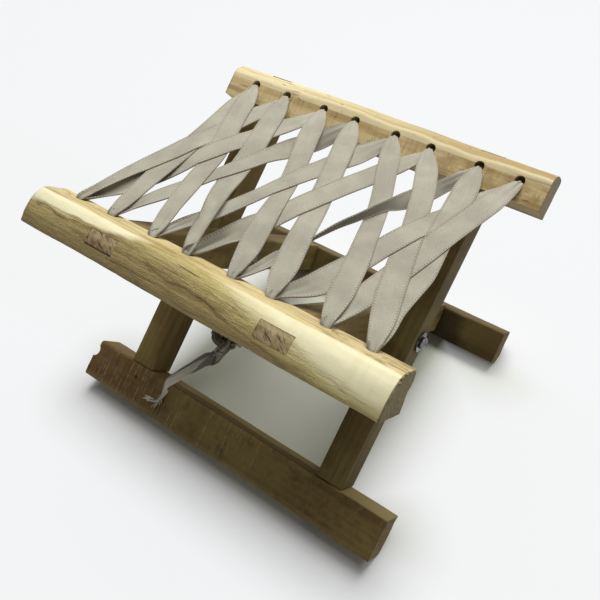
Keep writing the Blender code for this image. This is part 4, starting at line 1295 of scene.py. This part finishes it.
def make_seat(tape, thread):
    """The laced seat as one piece, and its edge stitching as another."""
    strands = weave()
    points, faces, uvs = [], [], []
    stitches = []
    v_places = np.linspace(-1, 1, Strand.ACROSS)
    for strand in strands:
        grid = strand_grid(strand)
        skin(grid, TAPE_THICKNESS, points, faces, uvs, v_places)
        stitches += stitch_places(strand, grid)
    for grid in under_runs():
        skin(grid, TAPE_THICKNESS, points, faces, uvs, GATHERED_PLACES)
    seat = mesh_piece("laced_seat", points, faces, tape, 50, uvs)
    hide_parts("seat_lace")
    sewn = make_stitches(stitches, thread)
    for piece in (seat, sewn):
        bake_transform(piece)


def stitch_places(strand, grid):
    """Place, heading and facing of each stitch along both edges of a strand."""
    seam, spacing, margin = 0.885, 0.0026, 0.003
    hidden = TUCK_STEPS + 1
    places = np.array([[tuple(point) for point in row] for row, _ in grid])[hidden:-hidden]
    found = []
    for edge in (-seam, seam):
        column = (edge + 1) * 0.5 * (Strand.ACROSS - 1)
        low = int(column)
        share = column - low
        line = places[:, low] * (1 - share) + places[:, low + 1] * share
        across = places[:, low + 1] - places[:, low]
        steps = np.concatenate([[0], np.cumsum(np.linalg.norm(np.diff(line, axis=0), axis=1))])
        heading = np.gradient(line, axis=0)
        facing = np.cross(across, heading)
        facing /= np.linalg.norm(facing, axis=1, keepdims=True)
        for distance in np.arange(margin, steps[-1] - margin, spacing):
            found.append([[np.interp(distance, steps, values[:, axis]) for axis in range(3)]
                          for values in (line, heading, facing)])
    return found


def node_tree(name, *sizes):
    """An empty Geometry Nodes tree with named sizes as inputs."""
    tree = bpy.data.node_groups.new(name, "GeometryNodeTree")
    tree.interface.new_socket("Geometry", in_out="INPUT", socket_type="NodeSocketGeometry")
    tree.interface.new_socket("Geometry", in_out="OUTPUT", socket_type="NodeSocketGeometry")
    for size in sizes:
        tree.interface.new_socket(size, in_out="INPUT", socket_type="NodeSocketFloat")
    return tree


def add_node(tree, kind, settings, **inputs):
    """Add a node to a tree; an input is a socket to link or a value."""
    made = tree.nodes.new(kind)
    for name, setting in settings.items():
        setattr(made, name, setting)
    sockets = {socket.identifier: socket for socket in made.inputs}
    for name, value in inputs.items():
        socket = sockets[name if name in sockets else name.replace("_", " ")]
        if isinstance(value, bpy.types.NodeSocket):
            tree.links.new(value, socket)
        else:
            socket.default_value = value
    return made


def stitch_tree(thread):
    """Lay a short thread on every point, along its heading."""
    tree = node_tree("edge_stitches", "length", "radius")
    given = tree.nodes.new("NodeGroupInput")
    line = add_node(tree, "GeometryNodeCurvePrimitiveLine", {"mode": "DIRECTION"}, Direction=(0, 0, 1),
                    Length=given.outputs["length"])
    ring = add_node(tree, "GeometryNodeCurvePrimitiveCircle", {"mode": "RADIUS"}, Resolution=5,
                    Radius=given.outputs["radius"])
    thread_mesh = add_node(tree, "GeometryNodeCurveToMesh", {}, Curve=line.outputs[0],
                           Profile_Curve=ring.outputs[0], Fill_Caps=True)
    heading = add_node(tree, "GeometryNodeInputNamedAttribute", {"data_type": "FLOAT_VECTOR"},
                       Name="heading")
    turned = add_node(tree, "FunctionNodeAlignRotationToVector", {"axis": "Z"},
                      Vector=heading.outputs[0])
    laid = add_node(tree, "GeometryNodeInstanceOnPoints", {}, Points=given.outputs["Geometry"],
                    Instance=thread_mesh.outputs[0], Rotation=turned.outputs[0])
    real = add_node(tree, "GeometryNodeRealizeInstances", {}, Geometry=laid.outputs[0])
    dressed = add_node(tree, "GeometryNodeSetMaterial", {}, Geometry=real.outputs[0], Material=thread)
    out = tree.nodes.new("NodeGroupOutput")
    tree.links.new(dressed.outputs[0], out.inputs[0])
    return tree


def set_sizes(modifier, **sizes):
    """Set a tree's inputs by their sockets' identifiers."""
    for item in modifier.node_group.interface.items_tree:
        if item.in_out == "INPUT" and item.name in sizes:
            modifier[item.identifier] = sizes[item.name]


def make_stitches(found, thread):
    """The stitching along the tape's edges."""
    length, radius = 0.0015, 0.00024
    rise = 0.5 * TAPE_THICKNESS + 0.00002
    mesh = bpy.data.meshes.new("edge_stitching")
    starts = []
    headings = []
    for centre, ahead, up in found:
        ahead = Vector(ahead).normalized()
        starts.append(tuple(Vector(centre) - ahead * (0.5 * length) + Vector(up) * rise))
        headings.append(tuple(ahead))
    mesh.from_pydata(starts, [], [])
    attribute = mesh.attributes.new("heading", "FLOAT_VECTOR", "POINT")
    attribute.data.foreach_set("vector", np.array(headings).ravel())
    obj = add_object("edge_stitching", mesh)
    modifier = obj.modifiers.new("stitches", "NODES")
    modifier.node_group = stitch_tree(thread)
    set_sizes(modifier, length=length, radius=radius)
    settle(obj)
    obj.data.shade_smooth()
    return obj


def neck_section(share):
    """The tape between knot and free end: a crumpled bunch that opens into a band."""
    above, below = 0.0034 - 0.0006 * share, 0.0044 + 0.0034 * share
    points = []
    for v in GATHERED_PLACES:
        crumple = 0.0011 * (1 - share) * math.cos(3 * math.pi * v)
        points.append(((above if v < 0 else below) * -v, crumple + 0.0012 * abs(v)))
    return points


def make_knot(tape):
    """The knot below the front rail, and the two gathered leads that it is tied from."""
    middle = INNER.place(0.037, RAIL_UNDERSIDE - 0.0102, HOLE_LINE + 0.0074)
    size = 0.0030
    depth = 0.0075
    steps = 96
    route = []
    for step in range(steps + 1):
        turn = 2 * math.pi * step / steps
        x = size * (math.sin(turn) + 2 * math.sin(2 * turn))
        w = size * (math.cos(turn) - 2 * math.cos(2 * turn) + 0.47)
        s = -0.5 * depth * math.sin(3 * turn)
        route.append(middle + Vector((x, 0, 0)) + w * INNER.towards_seat + s * INNER.up_legs)
    points, faces, uvs = [], [], []

    def add_run(route, facing, section, thickness):
        skin(swept_grid(route, facing, section), thickness, points, faces, uvs, GATHERED_PLACES)

    def outwards(share):
        turn = 2 * math.pi * share
        sideways = Vector((math.sin(turn), 0, 0))
        return INNER.up_legs * math.cos(3 * turn) + INNER.towards_seat * math.cos(turn) + sideways

    def crumpled(share):
        return [(0.0036 * v, 0.0009 * math.cos(2.5 * math.pi * v + 9 * share)) for v in GATHERED_PLACES]

    add_run(route, outwards, crumpled, 0.0011)

    # A lead from each of the two middle holes, bowed towards the knot
    for hole, bow in ((FRONT_HOLES[4], -1), (FRONT_HOLES[5], 1)):
        near = middle + Vector((bow * 0.004, 0, 0)) - 0.002 * INNER.up_legs
        down = [INNER.place(hole, -0.006, HOLE_LINE),
                INNER.place(hole, RAIL_UNDERSIDE + 0.001, HOLE_LINE),
                INNER.place(hole - bow * 0.004, RAIL_UNDERSIDE - 0.0042, HOLE_LINE + 0.002),
                INNER.place(hole - bow * 0.010, RAIL_UNDERSIDE - 0.0078, HOLE_LINE + 0.0045)]
        lead = smooth_route(down + [near], 6)

        def turning(share, bow=bow):
            bend = math.radians(70) * float(ease((share - 0.2) / 0.4))
            return Vector((bow * math.cos(bend), 0, 0)) - math.sin(bend) * INNER.towards_seat

        add_run(lead, turning, lambda share: pleated(0.0038, 0.0009), 0.0010)

    # The neck, from the knot to where the free end starts
    loose = [PIVOT + Vector(point) for point in TAIL_ROUTE[:2]]
    root = middle + Vector((0.004, 0, 0)) + 0.003 * INNER.up_legs
    halfway = root.lerp(loose[0], 0.5) + 0.001 * INNER.up_legs
    neck = smooth_route([root, halfway, loose[0], loose[1]], 6)
    add_run(neck, lambda share: OUTER.towards_seat, neck_section, 0.0010)
    knot = mesh_piece("tied_knot", points, faces, tape, 50, uvs)
    dress(knot, INNER.body, "taupe_tape", "lace_knot")


def folded_section(share):
    """The free end's trough: a narrow steep side above, a broad flatter one below, gathered last."""
    steep, gentle = math.radians(56), math.radians(22)
    neck = float(ease((share - 0.66) / 0.24))
    upper = (0.0030 - 0.0014 * float(ease(share / 0.70))) * (1 - neck) + 0.0012 * neck
    lower = (0.0082 + 0.0011 * float(ease(share / 0.4))) * (1 - neck) + 0.0016 * neck
    sides = [(upper * math.cos(steep) * step / 5, upper * math.sin(steep) * step / 5)
             for step in range(5, 0, -1)]
    sides += [(-lower * math.cos(gentle) * step / 7, lower * math.sin(gentle) * step / 7)
              for step in range(8)]
    ripple = [0.0003 * math.sin(1.9 * step + 14 * share) * (1 - neck) for step in range(len(sides))]
    return [(across, up + wave) for (across, up), wave in zip(sides, ripple)]


def make_tail(tape, thread):
    """The tape's free end, folded along its length, hanging from the knot to the front bottom rail."""
    route = smooth_route([PIVOT + Vector(point) for point in TAIL_ROUTE], 6)
    face = OUTER.towards_seat
    points, faces, uvs = [], [], []
    grid = swept_grid(route, lambda share: face, folded_section)
    skin(grid, TAPE_THICKNESS, points, faces, uvs, np.linspace(-1, 1, len(grid[0][0])))
    tail = mesh_piece("free_end", points, faces, tape, 50, uvs)
    frayed = make_fray(route, face, thread)
    dress(tail, INNER.body, "taupe_tape", "lace_tail")
    dress(frayed, INNER.body, "taupe_tape")
    length = sum((b - a).length for a, b in zip(route, route[1:]))


def make_fray(route, face, thread):
    """Loose yarns from the tape's end: most follow its hook, some stray, and all end on the rail."""
    curve = bpy.data.curves.new("frayed_yarns", "CURVE")
    curve.dimensions = "3D"
    curve.bevel_depth = 0.00030
    curve.bevel_resolution = 1
    curve.use_fill_caps = True
    last = len(route) - 1
    finish = (route[last] - route[last - 3]).normalized()
    yarns = 26
    steps = 12
    for yarn in range(yarns):
        stray = yarn % 3 == 2
        first = int((0.74 + 0.14 * (yarn / (yarns - 1))) * last)
        swing = 1.9 * rough(yarn * 0.37, 0, 0, 3.1, 4.0)
        reach = 0.004 + 0.009 * abs(rough(yarn * 0.71, 0, 0, 2.3, 8.0))
        heading = (route[first + 1] - route[first - 1]).normalized()
        across = face.cross(heading if stray else finish).normalized()
        spread = 0.0055 if stray else 0.0030
        spline = curve.splines.new("POLY")
        spline.points.add(steps)
        for step, point in enumerate(spline.points):
            along = step / steps
            if stray:
                place = route[first] + heading * (0.012 * along)
            else:
                where = min(1.0, along * 1.25) * (last - first) + first
                low = min(int(where), last - 1)
                beyond = finish * reach * max(0.0, along - 0.8) / 0.2
                place = route[low].lerp(route[low + 1], where - low) + beyond
            waver = 0.0012 * rough(yarn, along, 0, 4.0, 2.0)
            place = place + across * (spread * swing * along ** 1.6 + waver)
            resting = 0.0156 + 0.0012 * abs(rough(yarn, 2 * along, 1, 2.0, 6.0))
            lift = (resting - (place - PIVOT).dot(face)) * min(1.0, 2 * along)
            point.co = (*(place + face * lift), 1)
    obj = add_object("frayed_yarns", curve)
    mesh = plain_mesh(obj)
    mesh.materials.clear()
    mesh.materials.append(thread)
    bpy.data.objects.remove(obj)
    return add_object("frayed_yarns", mesh)


def make_hardware(zinc, nail):
    """Bolts, washers, nuts and brads with their round sides shaded smooth."""
    for side in ("left", "right"):
        for part in ("pivot_bolt", "head_washer", "spacer_washer", "nut_washer", "lock_nut"):
            node = part + "_" + side
            dress(smooth_copy("bright_" + node, node, zinc), OUTER.body, "zinc", node)
        for end, body in (("front", OUTER.body), ("back", INNER.body)):
            node = "tenon_brad_" + end + "_" + side
            dress(smooth_copy("dark_" + node, node, nail), body, "nail_steel", node)


def make_camera():
    """The photograph's viewpoint."""
    camera = bpy.data.cameras.new("viewpoint")
    camera.sensor_width = 36
    camera.lens = 41.66
    camera.clip_start = 0.01
    right = Vector((0.80986, 0.58583, -0.03065))
    up = Vector((-0.41365, 0.60732, 0.67827))
    back = Vector((0.41596, -0.53662, 0.73417))
    place = PIVOT + Vector((0.2672, -0.3483, 0.4520))
    obj = add_object("viewpoint", camera)
    obj.matrix_world = Matrix.Translation(place) @ Matrix((right, up, back)).transposed().to_4x4()
    bpy.context.scene.camera = obj


def make_light(name, place, size, power):
    """A broad round lamp aimed at the pivot."""
    lamp = bpy.data.lights.new(name, "AREA")
    lamp.shape = "DISK"
    lamp.size = size
    lamp.energy = power
    obj = add_object(name, lamp)
    obj.location = place
    obj.rotation_euler = (PIVOT - Vector(place)).to_track_quat("-Z", "Y").to_euler()


def pale_floor_finish():
    """A pale floor that keeps the shadow near the stool and is white away from it."""
    floor = Finish("pale_floor")
    here = floor.object_place()
    faint = floor.flecks(here, 3, 2.0)
    x = floor.part(here, "X").size()
    y = floor.part(here, "Y").size()
    colour = floor.blend(tone(247, 248, 247), tone(243, 245, 243), faint)
    # Painted shade: a darker, greener tint on the floor between the feet, under the seat
    colour = floor.blend(tone(230, 234, 219), colour, y.between(0.10, 0.13))
    floor.set(Base_Color=colour, Roughness=0.6, Specular_IOR_Level=0.2)
    from_seat = ((x - 0.100).most(0.0) ** 2 + (y - 0.125).most(0.0) ** 2) ** 0.5
    from_feet = ((x - 0.158).most(0.0) ** 2 + ((y - 0.128).size() - 0.012).most(0.0) ** 2) ** 0.5
    away = from_seat.least(from_feet)
    white = floor.node("ShaderNodeEmission", {}, {"Color": BACKGROUND, "Strength": 1.0})
    lit = Value(floor, floor.shader.outputs[0])
    clear = floor.seen() * (away.between(0.0, 0.080) ** 0.5 * 0.93 + away.between(0.4, 1.6) * 0.07)
    surface = floor.node("ShaderNodeMixShader", {}, {"Fac": clear, "Shader": lit, "Shader_001": white})
    floor.feed(floor.tree.nodes["Material Output"].inputs["Surface"], surface)
    return floor.material


def make_surround():
    """A soft surround: dim as a light, white where it is seen."""
    world = bpy.data.worlds.new("surround")
    world.use_nodes = True
    sky = Nodes(world.node_tree)
    dim = sky.node("ShaderNodeBackground", {}, {"Color": (1.0, 1.0, 0.99, 1), "Strength": 0.12})
    bright = sky.node("ShaderNodeBackground", {}, {"Color": BACKGROUND, "Strength": 1.0})
    both = sky.node("ShaderNodeMixShader", {}, {"Fac": sky.seen(), "Shader": dim, "Shader_001": bright})
    sky.feed(sky.tree.nodes["World Output"].inputs["Surface"], both)
    bpy.context.scene.world = world


def make_studio():
    """A pale floor, one broad lamp overhead and a soft surround."""
    half = 4
    corners = [(-half, -half, 0), (half, -half, 0), (half, half, 0), (-half, half, 0)]
    floor = mesh_piece("floor", corners, [(0, 1, 2, 3)], pale_floor_finish())
    floor.location.z = CAD_BOX[0][2] - 0.0002
    make_light("overhead", (-0.05, 0.70, 1.50), 1.5, 30)
    make_surround()
    bpy.context.scene.view_settings.view_transform = "Standard"


make_camera()
TAPE = tape_finish("taupe_tape")
THREAD = thread_finish()
# The free end's tape carries painted shade along its fold and painted light towards its end
make_tail(tape_finish("painted_shade_tape", tail_painted_light_and_shade), THREAD)
make_studio()
PALE = pale_rail_finish()
make_top_rails(PALE, golden_rail_finish())
make_splinters(PALE)
# The back foot's copy of the finish is darkened to 0.68: painted shade
make_bottom_rails(brown_batten_finish("rough_front_batten", OUTER, "x", 1.0, 0.015),
                  brown_batten_finish("rough_back_batten", INNER, "x", 0.68))
# Lit and shaded copies of one finish for the legs: painted light on three, painted shade on the outer
# right one
for node, side, lift in (("inner_leg_left", INNER, 1.15), ("inner_leg_right", INNER, 1.15),
                         ("outer_leg_left", OUTER, 1.2), ("outer_leg_right", OUTER, 0.8)):
    batten = brown_batten_finish(node + "_batten", side, "s", lift)
    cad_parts[node].material_slots[0].material = batten
make_hardware(zinc_finish(), nail_finish())
make_seat(TAPE, THREAD)
# The knot's tape is greyed by dirt and by painted shade
make_knot(tape_finish("grimy_shaded_tape", knot_grime_and_shade))
